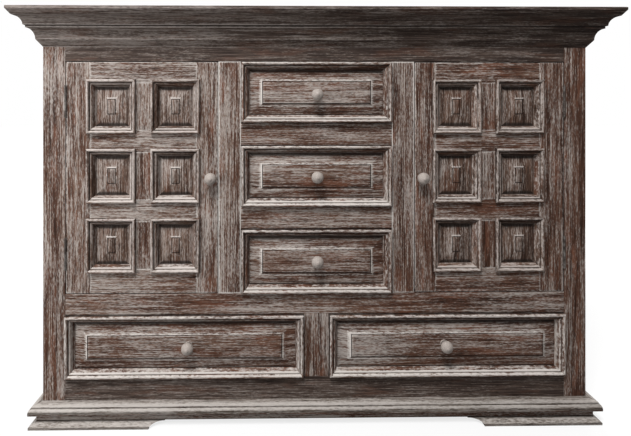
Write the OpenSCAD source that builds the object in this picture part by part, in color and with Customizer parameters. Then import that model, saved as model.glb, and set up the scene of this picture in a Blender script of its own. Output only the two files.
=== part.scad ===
// Wide dresser with a crown and a moulded base. Two coffered doors stand beside three small drawers,
// over two wide drawers. The front faces -Y, and the origin is on the floor under the middle.

/* [Case] */
// Width across the corner posts
case_w = 1480; // [1400:10:1600]
// Depth from the face frame to the back
case_d = 440; // [400:10:520]
// Width and depth of a corner post
post_w = 38; // [34:1:42]
// Thickness of the face frame, the door frames and the side rails
frame_t = 22; // [20:1:26]
// Thickness of the shelves, partitions and floors
board_t = 18; // [15:1:22]
// Thickness of the back panel
back_t = 8; // [5:1:12]
// Thickness of a side panel
side_panel_t = 10; // [8:1:12]
// Depth of a side panel's face behind its rails
side_recess = 8; // [4:1:9]
// Height of the rail under a side panel
side_rail_h = 60; // [50:1:80]

/* [Front layout] */
// Width of the narrow stile beside a corner post
outer_stile_w = 22; // [20:1:30]
// Width of the stile between a door and the small drawers
inner_stile_w = 61; // [55:1:75]
// Width of the bay of small drawers
centre_bay_w = 412; // [380:2:440]
// Width of the upright between the two wide drawers
mullion_w = 67; // [55:1:80]
// Height of the rail under the wide drawers
rail_bottom_h = 60; // [50:1:70]
// Height of the bay of wide drawers
lower_bay_h = 171; // [160:1:200]
// Height of the rail between the wide drawers and the doors
rail_middle_h = 56; // [50:1:75]
// Height of the bay of doors and small drawers
upper_bay_h = 630; // [600:1:680]
// Height of the rails between the small drawers
drawer_rail_h = 59; // [50:1:66]
// How much taller the lowest small drawer's bay is than the two over it
low_bay_extra = 8; // [0:1:16]
// Height of the top rail that shows under the crown
rail_top_show = 39; // [34:1:60]
// Gap round each door and drawer front
front_gap = 2; // [1.6:0.1:3]
// Height of a bay's lower edge above the board behind it
floor_drop = 7; // [5:1:10]

/* [Crown] */
// Thickness of the top board
top_t = 21; // [17:1:25]
// Overhang of the top board
crown_p = 66; // [62:1:80]
// Width of the slanted underside of the top board's edge
top_slant = 10; // [6:1:12]
// Height of the square lip on the top board's edge
top_lip_h = 7.5; // [4:0.5:9]
// Height of the upper cove of the crown
upper_course_h = 23; // [18:0.5:30]
// Drawn-in width of the upper cove
upper_cove_w = 20; // [14:1:24]
// Reach of the upper cove past the case
upper_course_p = 56; // [52:1:60]
// Height of the lower cove course of the crown
lower_course_h = 54; // [50:0.5:64]
// Reach of the lower cove course past the case
lower_course_p = 31.5; // [28:0.5:34]
// Reach of the lower cove's foot past the case
cove_foot_p = 14; // [10:1:18]
// Height of the chamfer under the lower cove
crown_chamfer_h = 19; // [14:1:24]
// Height of the fillet over the lower cove
crown_fillet_h = 6.5; // [4:0.5:9]

/* [Base] */
// Height of the bracket feet
foot_h = 16; // [14:1:40]
// Height of the plinth under the ledge
plinth_h = 20; // [16:1:30]
// Height of the ledge under the case
ledge_h = 26; // [22:1:32]
// Reach of the ledge past the case
ledge_p = 28; // [24:1:32]
// Reach of the plinth past the case
plinth_p = 12; // [8:1:16]
// Reach of the feet past the case
foot_p = 27; // [22:1:30]
// Width of the ledge's boards under the case
ledge_in = 60; // [48:1:80]
// Width of the plinth's boards under the case
plinth_in = 30; // [26:1:40]
// Length of a foot along the front, from the case's corner
foot_front_l = 331; // [200:1:400]
// Length of a foot along the side, from the case's corner
foot_side_l = 130; // [100:1:170]
// Length of the curved end of a foot
foot_curl_l = 34; // [20:1:44]
// Height of the square edge at the bottom of a foot
foot_edge_h = 6; // [4:1:10]

/* [Mouldings] */
// Width of the moulding round a drawer front
drawer_mould_w = 21.5; // [20:0.5:26]
// Height of that moulding's crest over the face
drawer_crest = 14; // [11:0.5:15]
// Width of the moulding round a coffer
coffer_mould_w = 21; // [19:1:24]
// Height of that moulding's crest over the face
coffer_crest = 10.5; // [8:0.5:12]
// How far a coffer's moulding laps over the door frame
mould_lap = 9; // [7:1:11]

/* [Doors] */
// Stile that shows at a door's hinges
hinge_stile_w = 56; // [48:1:60]
// Stile that shows at a door's knob
lock_stile_w = 48; // [42:1:56]
// Width that shows between two columns of coffers
muntin_w = 41; // [32:1:50]
// Height that shows between two rows of coffers
cross_muntin_h = 41; // [34:1:48]
// Rail that shows over the coffers
door_top_rail_h = 47; // [40:1:56]
// Rail that shows under the coffers
door_bottom_rail_h = 56; // [46:1:64]
// Depth of a coffer panel's edge behind the face
coffer_recess = 8; // [6:1:9]
// Thickness of a coffer panel at its edge
coffer_panel_t = 10; // [8:1:11]
// Width of the flat on a coffer panel
coffer_flat_w = 18; // [12:1:36]
// Height of the flat on a coffer panel
coffer_flat_h = 38; // [28:1:56]

/* [Drawers] */
// Depth of a drawer front's panel edge behind the face
drawer_recess = 6; // [4:1:8]
// Height of the panel's flat over the face
drawer_flat_rise = 6; // [3:0.5:8]
// Height of the flat on a drawer front
drawer_flat_h = 56; // [46:1:68]
// Width of the bevel beside the flat of a small drawer
small_bevel = 35; // [24:0.5:40]
// Width of the bevel beside the flat of a wide drawer
wide_bevel = 37; // [24:0.5:44]
// Length of a drawer box behind its front
box_l = 370; // [300:5:374]
// Thickness of a drawer box's walls
box_wall_t = 12; // [10:1:15]
// Thickness of a drawer box's bottom
box_bottom_t = 6; // [4:1:9]
// Height of a drawer box's bottom over its lower edge
box_bottom_rise = 8; // [6:1:12]
// Room over a drawer box in its bay
box_head_room = 22; // [16:1:30]
// Room at each side of a drawer box in its bay
box_side_room = 6; // [4:1:8]
// Thickness of a runner under a drawer box
runner_t = 16; // [12:1:22]
// Width of a runner that lies under the box
runner_lap = 14; // [12:1:18]
// Height of the guide beside a drawer box
guide_h = 18; // [12:1:26]

/* [Knobs] */
// Diameter of a knob
knob_d = 32; // [26:1:34]
// Length of a knob from the surface it stands on
knob_l = 36; // [30:1:40]
// Distance of a door's knob from the edge of its bay
door_knob_inset = 19; // [12:1:24]
// Height of a door's knob over the middle of the door
door_knob_lift = -1; // [-40:1:40]
// Height of a wide drawer's knob over the middle of its front
wide_knob_lift = 5.5; // [-10:0.5:10]
// Distance of a wide drawer's knob from the middle of its bay
wide_knob_shift = 10.5; // [0:0.5:30]

/* [Hinges] */
// Length of a butt hinge
hinge_l = 84; // [60:1:100]
// Distance of a hinge from the end of its door
hinge_inset = 67; // [50:1:100]
// Radius of a hinge's knuckle
knuckle_r = 3; // [2.6:0.1:3.4]
// Radius of a hinge's pin
hinge_pin_r = 1.5; // [1.2:0.1:1.7]
// Depth of a hinge's leaf behind the face
leaf_w = 18; // [14:1:19]

/* [Hidden] */

// Colours of the limed dark wood, the pale knobs, the bare drawer boxes and the hinges
wood = "#5b4a42";
pale_wood = "#6f6159";
knob_wood = "#b5aea4";
box_wood = "#b08a5c";
steel = "#a5a19a";

// Clearances
run_gap = 0.3;
guide_gap = 1;
leaf_gap = 0.1;
pin_gap = 0.05;
catch_gap = 0.3;

// Counts
small_drawers = 3;
coffer_cols = 2;
coffer_rows = 3;
knuckles = 5;
curve_steps = 8;

// Places across the front, from the middle outwards
half_w = case_w / 2;
post_x = half_w - post_w;
bay_out_x = post_x - outer_stile_w;
bay_in_x = centre_bay_w / 2 + inner_stile_w;
rail_in_x = half_w - frame_t;
panel_in_x = half_w - side_recess - side_panel_t;
part_x = centre_bay_w / 2 + inner_stile_w / 2;

// Places from front to back
front_y = (crown_p - case_d) / 2;
back_y = front_y + case_d;
frame_y = front_y + frame_t;
post_y = front_y + post_w;
rear_post_y = back_y - post_w;
back_in_y = back_y - back_t;

// Heights from the floor
plinth_z = foot_h;
ledge_z = plinth_z + plinth_h;
case_z = ledge_z + ledge_h;
lower_bay_z = case_z + rail_bottom_h;
lower_bay_top_z = lower_bay_z + lower_bay_h;
upper_bay_z = lower_bay_top_z + rail_middle_h;
upper_bay_top_z = upper_bay_z + upper_bay_h;
crown_z = upper_bay_top_z + rail_top_show;
crown_mid_z = crown_z + lower_course_h;
top_z = crown_mid_z + upper_course_h;
floor_z = lower_bay_z - floor_drop;
divider_z = upper_bay_z - floor_drop;
shelf_z = (upper_bay_z + upper_bay_top_z) / 2;
shelf_set_back = 4;

// Small drawers, counted from the top, and the wide ones
last = small_drawers - 1;
small_bay_h = (upper_bay_h - last * drawer_rail_h - low_bay_extra) / small_drawers;
small_front_w = centre_bay_w - 2 * front_gap;
wide_bay_w = bay_out_x - mullion_w / 2;
wide_bay_x = (bay_out_x + mullion_w / 2) / 2;
small_knob_lifts = [-7, -0.5, 4.5];
function bay_h(i) = small_bay_h + (i == last ? low_bay_extra : 0);
function small_bay_z(i) =
    upper_bay_top_z - i * (small_bay_h + drawer_rail_h) - bay_h(i);

// Doors: the right one, and the left one is its mirror image
door_in_x = bay_in_x + front_gap;
door_out_x = bay_out_x - front_gap;
door_z = upper_bay_z + front_gap;
door_top_z = upper_bay_top_z - front_gap;
coffer_w = (door_out_x - door_in_x - hinge_stile_w - lock_stile_w
    - (coffer_cols - 1) * muntin_w) / coffer_cols;
coffer_h = (door_top_z - door_z - door_top_rail_h - door_bottom_rail_h
    - (coffer_rows - 1) * cross_muntin_h) / coffer_rows;
coffer_left_x = door_in_x + lock_stile_w;
coffer_low_z = door_z + door_bottom_rail_h;
function coffer_x(i) = coffer_left_x + coffer_w / 2 + i * (coffer_w + muntin_w);
function coffer_z(j) = coffer_low_z + coffer_h / 2 + j * (coffer_h + cross_muntin_h);

// Grooves that the saw leaves round a panel's flat
groove_w = 2.4;
groove_depth = 1.6;
flat_step = 1;
// A field's bevel starts this far under its moulding, which is let in as deep
field_tuck = 0.5;

// Hinges
pin_x = bay_out_x - front_gap / 2;
pin_y = front_y - knuckle_r - 0.2;
leaf_t = front_gap / 2 - leaf_gap;
knuckle_l = hinge_l / knuckles;
tip_r = knuckle_r * 0.8;
tip_h = 2.4;
hinge_zs = [door_z + hinge_inset - front_gap, door_top_z - hinge_inset - hinge_l + front_gap];

// Cutting shapes reach past what they cut by this much
past = 2;

// A box between the given ends along X, Y and Z
module block(x, y, z)
    translate([x[0], y[0], z[0]])
        cube([x[1] - x[0], y[1] - y[0], z[1] - z[0]]);

// The child on the left, as the mirror image of the right
module left_hand()
    mirror([1, 0, 0]) children();

// Children drawn in XY and rising in Z stand on the front face, at x and z
module on_front(x, z, rise = 0)
    translate([x, front_y - rise, z]) rotate([90, 0, 0]) children();

function ellipse_arc(c, rx, ry, a0, a1) =
    [for (i = [0:curve_steps])
        let (a = a0 + (a1 - a0) * i / curve_steps) [c[0] + rx * cos(a), c[1] + ry * sin(a)]];

// A moulding along the front, mitred at both corners of the case. Its profile is drawn with X as the
// reach past the case, from -inner to outer, and Y as the height over z
module front_run(profile, inner, outer, z)
    intersection() {
        translate([0, front_y, z]) rotate([90, 0, -90])
            linear_extrude(case_w + 2 * (outer + past), center = true) polygon(profile);
        in = inner + past;
        out = outer + past;
        translate([0, 0, -past]) linear_extrude(top_z + top_t) polygon([
            [in - half_w, front_y + in], [half_w - in, front_y + in],
            [half_w + out, front_y - out], [-half_w - out, front_y - out]]);
    }

// The same moulding along the right side, mitred at the front
module side_run(profile, inner, outer, z)
    intersection() {
        translate([half_w, back_y, z]) rotate([90, 0, 0])
            linear_extrude(case_d + outer + past) polygon(profile);
        in = inner + past;
        out = outer + past;
        translate([0, 0, -past]) linear_extrude(top_z + top_t) polygon([
            [half_w - in, front_y + in], [half_w + out, front_y - out],
            [half_w + out, back_y + past], [half_w - in, back_y + past]]);
    }

// Floor board with its corners cut round the four posts
module notched_board(z)
    translate([0, 0, z]) linear_extrude(board_t) polygon([
        [-post_x, frame_y], [post_x, frame_y], [post_x, post_y], [rail_in_x, post_y],
        [rail_in_x, rear_post_y], [post_x, rear_post_y], [post_x, back_in_y],
        [-post_x, back_in_y], [-post_x, rear_post_y], [-rail_in_x, rear_post_y],
        [-rail_in_x, post_y], [-post_x, post_y]]);

// Profile of a panel moulding: X from its outer edge inwards, Y over the face. Its crest stands at the
// outer edge, and a quirk parts it from a bead that falls to the panel. With a lap it steps over a frame
function mould_profile(w, lap, crest, floor_y) =
    let (quirk = crest - 6.5, bead = quirk + 1.2, foot = floor_y + 1.2, u0 = 0.55 * w, u1 = 0.92 * w)
    concat(
        [[0, lap > 0 ? 0 : floor_y - field_tuck], [0, crest - 2.6], [0.03 * w, crest - 1.2]],
        [[0.08 * w, crest - 0.3], [0.16 * w, crest], [0.25 * w, crest - 0.5]],
        [[0.33 * w, crest - 2], [0.39 * w, crest - 4.6], [0.41 * w, quirk - 0.8]],
        [[0.455 * w, quirk - 0.8], [0.48 * w, quirk + 0.4]],
        [for (i = [0:4]) let (t = i / 4) [u0 + (u1 - u0) * t, foot + (bead - foot) * (1 - pow(t, 1.8))]],
        [[w, foot - 0.4]],
        lap > 0 ? [[w, floor_y], [lap, floor_y], [lap, 0]] : [[w, floor_y - field_tuck]]);

// One side of a moulding frame, mitred at both ends, lying along X with its outer edge at y = 0
module mitred_strip(l, w, profile)
    intersection() {
        rotate([90, 0, 90]) linear_extrude(l + 2 * past, center = true) polygon(profile);
        half = l / 2;
        in = w + past;
        linear_extrude(4 * w, center = true) polygon([
            [-half - past, -past], [half + past, -past], [half - in, in], [in - half, in]]);
    }

// Four mitred strips round an outline of w by h
module moulding_frame(w, h, mould_w, profile) {
    translate([0, -h / 2, 0]) mitred_strip(w, mould_w, profile);
    translate([0, h / 2, 0]) rotate(180) mitred_strip(w, mould_w, profile);
    translate([-w / 2, 0, 0]) rotate(-90) mitred_strip(h, mould_w, profile);
    translate([w / 2, 0, 0]) rotate(90) mitred_strip(h, mould_w, profile);
}

// Raised field of w by h: bevels climb by rise to a saw groove, and the flat stands inside it
module raised_field(w, h, bevel_x, bevel_y, rise) {
    difference() {
        intersection() {
            rotate([90, 0, 0]) linear_extrude(h + past, center = true) polygon([
                [-w / 2, 0], [w / 2, 0], [w / 2 - bevel_x, rise], [bevel_x - w / 2, rise]]);
            rotate([90, 0, 90]) linear_extrude(w + past, center = true) polygon([
                [-h / 2, 0], [h / 2, 0], [h / 2 - bevel_y, rise], [bevel_y - h / 2, rise]]);
        }
        translate([0, 0, rise])
            cube([w - 2 * bevel_x - groove_w, h - 2 * bevel_y - groove_w, 2 * groove_depth], center = true);
    }
    flat_w = w - 2 * bevel_x - 3 * groove_w;
    flat_h = h - 2 * bevel_y - 3 * groove_w;
    translate([-flat_w / 2, -flat_h / 2, 0]) cube([flat_w, flat_h, rise + flat_step]);
}

// Turned knob on a flange, rising along Z
module knob() {
    flange_r = knob_d * 0.31;
    neck_r = knob_d * 0.2;
    head_z = knob_l * 0.62;
    head_h = knob_l * 0.35;
    head = ellipse_arc([0, head_z], knob_d / 2, head_h, -62, 74);
    color(knob_wood) rotate_extrude($fn = 48) polygon(concat(
        [[0, 0], [flange_r, 0], [flange_r, 2], [flange_r - 1, 3.6], [neck_r + 1, 4.6], [neck_r, 6]],
        head,
        [[knob_d * 0.13, head_z + head_h], [knob_d * 0.1, knob_l], [0, knob_l]]));
}

// Drawer front: slab with a raised field, and its frame of moulding, which stands a hair proud of the
// slab's edges
module drawer_front(x, z, w, h, bevel) {
    field_w = w - 2 * (drawer_mould_w - field_tuck);
    field_h = h - 2 * (drawer_mould_w - field_tuck);
    bevel_h = (field_h - drawer_flat_h - 3 * groove_w) / 2;
    slab_w = w - 2 * field_tuck;
    slab_h = h - 2 * field_tuck;
    color(wood) on_front(x, z) {
        translate([0, 0, -drawer_recess]) {
            translate([-slab_w / 2, -slab_h / 2, drawer_recess - frame_t])
                cube([slab_w, slab_h, frame_t - drawer_recess]);
            translate([0, 0, -field_tuck]) raised_field(field_w, field_h, bevel, bevel_h,
                field_tuck + drawer_recess + drawer_flat_rise - flat_step);
        }
    }
    color(pale_wood) on_front(x, z) moulding_frame(w, h, drawer_mould_w,
        mould_profile(drawer_mould_w, 0, drawer_crest, -drawer_recess));
}

// Open drawer box between two X places, standing at z
module drawer_box(x, z, h) {
    y_end = frame_y + box_l;
    inside = [x[0] + box_wall_t, x[1] - box_wall_t];
    color(box_wood) {
        block([x[0], inside[0]], [frame_y, y_end], [z, z + h]);
        block([inside[1], x[1]], [frame_y, y_end], [z, z + h]);
        block(inside, [frame_y, frame_y + box_wall_t], [z, z + h]);
        block(inside, [y_end - box_wall_t, y_end], [z, z + h]);
        block(inside, [frame_y + box_wall_t, y_end - box_wall_t],
            [z + box_bottom_rise, z + box_bottom_rise + box_bottom_t]);
    }
}

// Runner under one side of a drawer box, and the guide beside it. The box's side is at box_x, the
// wall behind the runner at wall_x, and the runner lies between two heights
module runner_pair(box_x, wall_x, z) {
    s = sign(wall_x - box_x);
    lap_x = box_x - s * runner_lap;
    guide_x = box_x + s * guide_gap;
    block([min(lap_x, wall_x), max(lap_x, wall_x)], [frame_y, back_in_y], z);
    block([min(guide_x, wall_x), max(guide_x, wall_x)], [frame_y, back_in_y], [z[1], z[1] + guide_h]);
}

// Small drawer i, counted from the top
module small_front(i)
    drawer_front(0, small_bay_z(i) + bay_h(i) / 2, small_front_w, bay_h(i) - 2 * front_gap,
        small_bevel);

module small_box(i)
    drawer_box([box_side_room - centre_bay_w / 2, centre_bay_w / 2 - box_side_room],
        small_bay_z(i) + run_gap, bay_h(i) - box_head_room);

module small_knob(i)
    on_front(0, small_bay_z(i) + bay_h(i) / 2 + small_knob_lifts[i], drawer_flat_rise) knob();

// Wide drawer on the right
module wide_front()
    drawer_front(wide_bay_x, lower_bay_z + lower_bay_h / 2, wide_bay_w - 2 * front_gap,
        lower_bay_h - 2 * front_gap, wide_bevel);

module wide_box()
    drawer_box([mullion_w / 2 + box_side_room, bay_out_x - box_side_room],
        lower_bay_z + run_gap, lower_bay_h - box_head_room);

module wide_knob()
    on_front(wide_bay_x - wide_knob_shift, lower_bay_z + lower_bay_h / 2 + wide_knob_lift,
        drawer_flat_rise) knob();

// Right door's frame: two stiles, two rails, an upright muntin and the short cross muntins
module door_frame() {
    y = [front_y, frame_y];
    lock_x = coffer_left_x + mould_lap;
    hinge_x = door_out_x - hinge_stile_w - mould_lap;
    low_z = coffer_low_z + mould_lap;
    high_z = door_top_z - door_top_rail_h - mould_lap;
    mid_x = (coffer_x(0) + coffer_x(1)) / 2;
    half_muntin = muntin_w / 2 + mould_lap;
    color(wood) {
        block([door_in_x, lock_x], y, [door_z, door_top_z]);
        block([hinge_x, door_out_x], y, [door_z, door_top_z]);
        block([lock_x, hinge_x], y, [door_z, low_z]);
        block([lock_x, hinge_x], y, [high_z, door_top_z]);
        block([mid_x - half_muntin, mid_x + half_muntin], y, [low_z, high_z]);
        for (j = [1:coffer_rows - 1]) {
            cross_z = (coffer_z(j - 1) + coffer_z(j)) / 2;
            half_cross = cross_muntin_h / 2 + mould_lap;
            block([lock_x, mid_x - half_muntin], y, [cross_z - half_cross, cross_z + half_cross]);
            block([mid_x + half_muntin, hinge_x], y, [cross_z - half_cross, cross_z + half_cross]);
        }
    }
}

// Right door's coffer panels, one behind each moulding
module door_panels() {
    w = coffer_w - 2 * mould_lap;
    h = coffer_h - 2 * mould_lap;
    field_w = coffer_w - 2 * (coffer_mould_w - field_tuck);
    field_h = coffer_h - 2 * (coffer_mould_w - field_tuck);
    color(pale_wood)
        for (i = [0:coffer_cols - 1], j = [0:coffer_rows - 1])
            on_front(coffer_x(i), coffer_z(j), -coffer_recess) {
                translate([-w / 2, -h / 2, -coffer_panel_t]) cube([w, h, coffer_panel_t]);
                translate([0, 0, -field_tuck]) raised_field(field_w, field_h,
                    (field_w - coffer_flat_w) / 2 - groove_w, (field_h - coffer_flat_h) / 2 - groove_w,
                    coffer_recess + field_tuck);
            }
}

module door_mouldings()
    color(pale_wood)
        for (i = [0:coffer_cols - 1], j = [0:coffer_rows - 1])
            on_front(coffer_x(i), coffer_z(j))
                moulding_frame(coffer_w, coffer_h, coffer_mould_w,
                    mould_profile(coffer_mould_w, mould_lap, coffer_crest, -coffer_recess));

module door_knob()
    on_front(bay_in_x + door_knob_inset, (door_z + door_top_z) / 2 + door_knob_lift) knob();

// One leaf of each of a door's two hinges. Its knuckles are every second one, from the first given.
// The leaf lies against x = edge_x, on the side away from the pin
module leaf_set(first, edge_x, bored) {
    x = [min(edge_x, pin_x + sign(edge_x - pin_x) * leaf_gap),
        max(edge_x, pin_x + sign(edge_x - pin_x) * leaf_gap)];
    color(steel)
        for (z = hinge_zs) {
            block(x, [front_y, front_y + leaf_w], [z, z + hinge_l]);
            for (k = [first:2:knuckles - 1])
                difference() {
                    union() {
                        translate([pin_x, pin_y, z + k * knuckle_l + leaf_gap])
                            cylinder(h = knuckle_l - 2 * leaf_gap, r = knuckle_r, $fn = 32);
                        block(x, [front_y - knuckle_r * 0.35, front_y + 1],
                            [z + k * knuckle_l + leaf_gap, z + (k + 1) * knuckle_l - leaf_gap]);
                    }
                    if (bored)
                        translate([pin_x, pin_y, z + k * knuckle_l])
                            cylinder(h = knuckle_l, r = hinge_pin_r + pin_gap, $fn = 32);
                }
        }
}

// The hinges' pins, with a small tip at each end
module hinge_pins()
    color(steel)
        for (z = hinge_zs) {
            translate([pin_x, pin_y, z - tip_h]) cylinder(h = hinge_l + 2 * tip_h, r = hinge_pin_r, $fn = 32);
            translate([pin_x, pin_y, z - tip_h]) cylinder(h = tip_h + leaf_gap, r = tip_r, $fn = 32);
            translate([pin_x, pin_y, z + hinge_l - leaf_gap])
                cylinder(h = tip_h + leaf_gap, r = tip_r, $fn = 32);
        }

// Corner posts and side frames
module front_post_right()
    color(wood) block([post_x, half_w], [front_y, post_y], [case_z, top_z]);

module front_post_left()
    left_hand() front_post_right();

module rear_posts()
    color(wood)
        for (s = [0, 1])
            mirror([s, 0, 0]) block([post_x, half_w], [rear_post_y, back_y], [case_z, top_z]);

module side_rails()
    color(wood)
        for (s = [0, 1], z = [[case_z, case_z + side_rail_h], [lower_bay_top_z, upper_bay_z],
                              [upper_bay_top_z, top_z]])
            mirror([s, 0, 0]) block([rail_in_x, half_w], [post_y, rear_post_y], z);

module side_panel_right()
    color(pale_wood)
        for (z = [[case_z + side_rail_h, lower_bay_top_z], [upper_bay_z, upper_bay_top_z]])
            block([panel_in_x, half_w - side_recess], [post_y, rear_post_y], z);

module side_panel_left()
    left_hand() side_panel_right();

module back_panel()
    color(wood) block([-post_x, post_x], [back_in_y, back_y], [case_z, top_z]);

// Boards of the case
module top_board() {
    edge = [[top_slant, 0], [0.6, top_t - top_lip_h - 0.6], [0, top_t - top_lip_h],
            [0, top_t - 1.2], [1.2, top_t]];
    out_x = half_w + crown_p;
    color(wood) translate([0, 0, top_z])
        intersection() {
            translate([0, front_y - crown_p, 0]) rotate([90, 0, 90])
                linear_extrude(2 * out_x, center = true)
                    polygon(concat(edge, [[case_d + crown_p, top_t], [case_d + crown_p, 0]]));
            translate([0, back_y, 0]) rotate([90, 0, 0])
                linear_extrude(case_d + crown_p)
                    polygon(concat([for (p = edge) [p[0] - out_x, p[1]]],
                        [for (i = [len(edge) - 1:-1:0]) [out_x - edge[i][0], edge[i][1]]]));
        }
}

module bottom_board()
    color(box_wood) notched_board(floor_z - board_t);

module divider_board()
    color(box_wood) notched_board(divider_z - board_t);

module partitions()
    color(box_wood)
        for (s = [-1, 1])
            block([s * part_x - board_t / 2, s * part_x + board_t / 2], [frame_y, back_in_y],
                [divider_z, top_z]);

module lower_partition()
    color(box_wood)
        block([-board_t / 2, board_t / 2], [frame_y, back_in_y], [floor_z, divider_z - board_t]);

module shelves()
    color(box_wood)
        for (s = [0, 1])
            mirror([s, 0, 0])
                block([part_x + board_t / 2, panel_in_x], [post_y + shelf_set_back, rear_post_y],
                    [shelf_z - board_t / 2, shelf_z + board_t / 2]);

// Face frame
module rail_top()
    color(wood) block([-bay_out_x, bay_out_x], [front_y, frame_y], [upper_bay_top_z, top_z]);

module rail_middle()
    color(wood) block([-bay_out_x, bay_out_x], [front_y, frame_y], [lower_bay_top_z, upper_bay_z]);

module rail_bottom()
    color(wood) block([-bay_out_x, bay_out_x], [front_y, frame_y], [case_z, lower_bay_z]);

module outer_stiles()
    color(wood)
        for (s = [0, 1])
            mirror([s, 0, 0]) block([bay_out_x, post_x], [front_y, frame_y], [case_z, top_z]);

module inner_stiles()
    color(wood)
        for (s = [0, 1])
            mirror([s, 0, 0])
                block([centre_bay_w / 2, bay_in_x], [front_y, frame_y], [upper_bay_z, upper_bay_top_z]);

module drawer_rails()
    color(wood)
        for (i = [0:small_drawers - 2])
            block([-centre_bay_w / 2, centre_bay_w / 2], [front_y, frame_y],
                [small_bay_z(i) - drawer_rail_h, small_bay_z(i)]);

module mullion()
    color(wood)
        block([-mullion_w / 2, mullion_w / 2], [front_y, frame_y], [lower_bay_z, lower_bay_top_z]);

// Crown: a lower course with a chamfer, a cove and a fillet, and an upper cove
lower_profile = concat(
    [[0, 0]],
    ellipse_arc([lower_course_p, crown_chamfer_h], lower_course_p - cove_foot_p,
        lower_course_h - crown_fillet_h - crown_chamfer_h, 180, 90),
    [[lower_course_p, lower_course_h], [0, lower_course_h]]);

upper_profile = concat(
    [[0, 0]],
    ellipse_arc([upper_course_p, 0], upper_cove_w, upper_course_h, 180, 90),
    [[0, upper_course_h]]);

module crown_front()
    color(wood) {
        front_run(lower_profile, 0, crown_p, crown_z);
        front_run(upper_profile, 0, crown_p, crown_mid_z);
    }

module crown_right()
    color(wood) {
        side_run(lower_profile, 0, crown_p, crown_z);
        side_run(upper_profile, 0, crown_p, crown_mid_z);
    }

module crown_left()
    left_hand() crown_right();

// Base: a ledge with a quirk and a rounded edge, over a plinth
ledge_fall = 4;
ledge_quirk = 3.5;
ledge_top_p = ledge_p - 7;
ledge_profile = concat(
    [[-ledge_in, 0], [ledge_p - 3, 0], [ledge_p - 1, 1]],
    ellipse_arc([ledge_p - 7, 5], 7, ledge_h - ledge_fall - ledge_quirk - 5, -12, 76),
    [[ledge_top_p, ledge_h - ledge_fall - ledge_quirk], [ledge_top_p, ledge_h - ledge_fall - 0.8],
     [ledge_top_p - 0.8, ledge_h - ledge_fall], [0, ledge_h], [-ledge_in, ledge_h]]);
plinth_profile = [[-plinth_in, 0], [plinth_p, 0], [plinth_p, plinth_h], [-plinth_in, plinth_h]];

module base_front()
    color(pale_wood) {
        front_run(ledge_profile, ledge_in, ledge_p, ledge_z);
        front_run(plinth_profile, plinth_in, plinth_p, plinth_z);
    }

module base_right()
    color(pale_wood) {
        side_run(ledge_profile, ledge_in, ledge_p, ledge_z);
        side_run(plinth_profile, plinth_in, plinth_p, plinth_z);
    }

module base_left()
    left_hand() base_right();

module base_rear()
    color(pale_wood) {
        block([ledge_in - half_w, half_w - ledge_in], [back_y - ledge_in, back_y], [ledge_z, case_z]);
        block([plinth_in - half_w, half_w - plinth_in], [back_y - plinth_in, back_y],
            [plinth_z, ledge_z]);
    }

// Feet: brackets that flare out, with a curved end
foot_profile = [[-plinth_in, 0], [foot_p, 0], [foot_p, foot_edge_h], [foot_p - 1.5, foot_edge_h + 1.3],
                [plinth_p, foot_h - 1.5], [plinth_p, foot_h], [-plinth_in, foot_h]];

// Share of a foot's height that its curve takes, under a square lip
foot_lip = 0.86;

// Side view of a foot from its corner at x = outer to its curved end at x = -l
function foot_side(l, outer) = concat(
    [[outer, -past], [outer, foot_h + past], [-l, foot_h + past]],
    [for (i = [0:curve_steps])
        let (t = i / curve_steps) [foot_curl_l * (t + 0.1 * sin(360 * t)) - l,
            foot_h * foot_lip * (1 + cos(180 * t)) / 2]],
    [[foot_curl_l - l, -past]]);

module front_bracket()
    intersection() {
        front_run(foot_profile, plinth_in, foot_p, 0);
        translate([half_w, front_y + plinth_in + past, 0]) rotate([90, 0, 0])
            linear_extrude(plinth_in + foot_p + 2 * past) polygon(foot_side(foot_front_l, foot_p + past));
    }

// Bracket along the right side, from the front corner
module side_bracket()
    intersection() {
        side_run(foot_profile, plinth_in, foot_p, 0);
        translate([half_w - plinth_in - past, front_y, 0]) rotate([90, 0, 90])
            linear_extrude(plinth_in + foot_p + 2 * past)
                polygon([for (p = foot_side(foot_side_l, foot_p + past)) [-p[0], p[1]]]);
    }

// Bracket along the right side, from the back corner
module rear_bracket()
    intersection() {
        side_run(foot_profile, plinth_in, foot_p, 0);
        translate([half_w - plinth_in - past, back_y, 0]) rotate([90, 0, 90])
            linear_extrude(plinth_in + foot_p + 2 * past) polygon(foot_side(foot_side_l, past));
    }

module foot_front_right()
    color(pale_wood) {
        front_bracket();
        side_bracket();
    }

module foot_front_left()
    left_hand() foot_front_right();

module foot_rear_right()
    color(pale_wood) {
        rear_bracket();
        block([half_w - foot_side_l, half_w - plinth_in], [back_y - plinth_in, back_y], [0, foot_h]);
    }

module foot_rear_left()
    left_hand() foot_rear_right();

// Runners and guides for all five drawers
module drawer_runners() {
    small_box_x = centre_bay_w / 2 - box_side_room;
    wide_in_x = mullion_w / 2 + box_side_room;
    wide_out_x = bay_out_x - box_side_room;
    color(box_wood)
        for (s = [0, 1])
            mirror([s, 0, 0]) {
                for (i = [0:small_drawers - 1]) {
                    z = small_bay_z(i);
                    runner_pair(small_box_x, part_x - board_t / 2, [max(z - runner_t, divider_z), z]);
                }
                runner_pair(wide_in_x, board_t / 2, [floor_z, lower_bay_z]);
                runner_pair(wide_out_x, post_x, [floor_z, lower_bay_z]);
            }
}

// The hinges' leaves and pins on the outer stiles
module hinge_leaves()
    for (s = [0, 1])
        mirror([s, 0, 0]) {
            leaf_set(0, bay_out_x, false);
            hinge_pins();
        }

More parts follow.
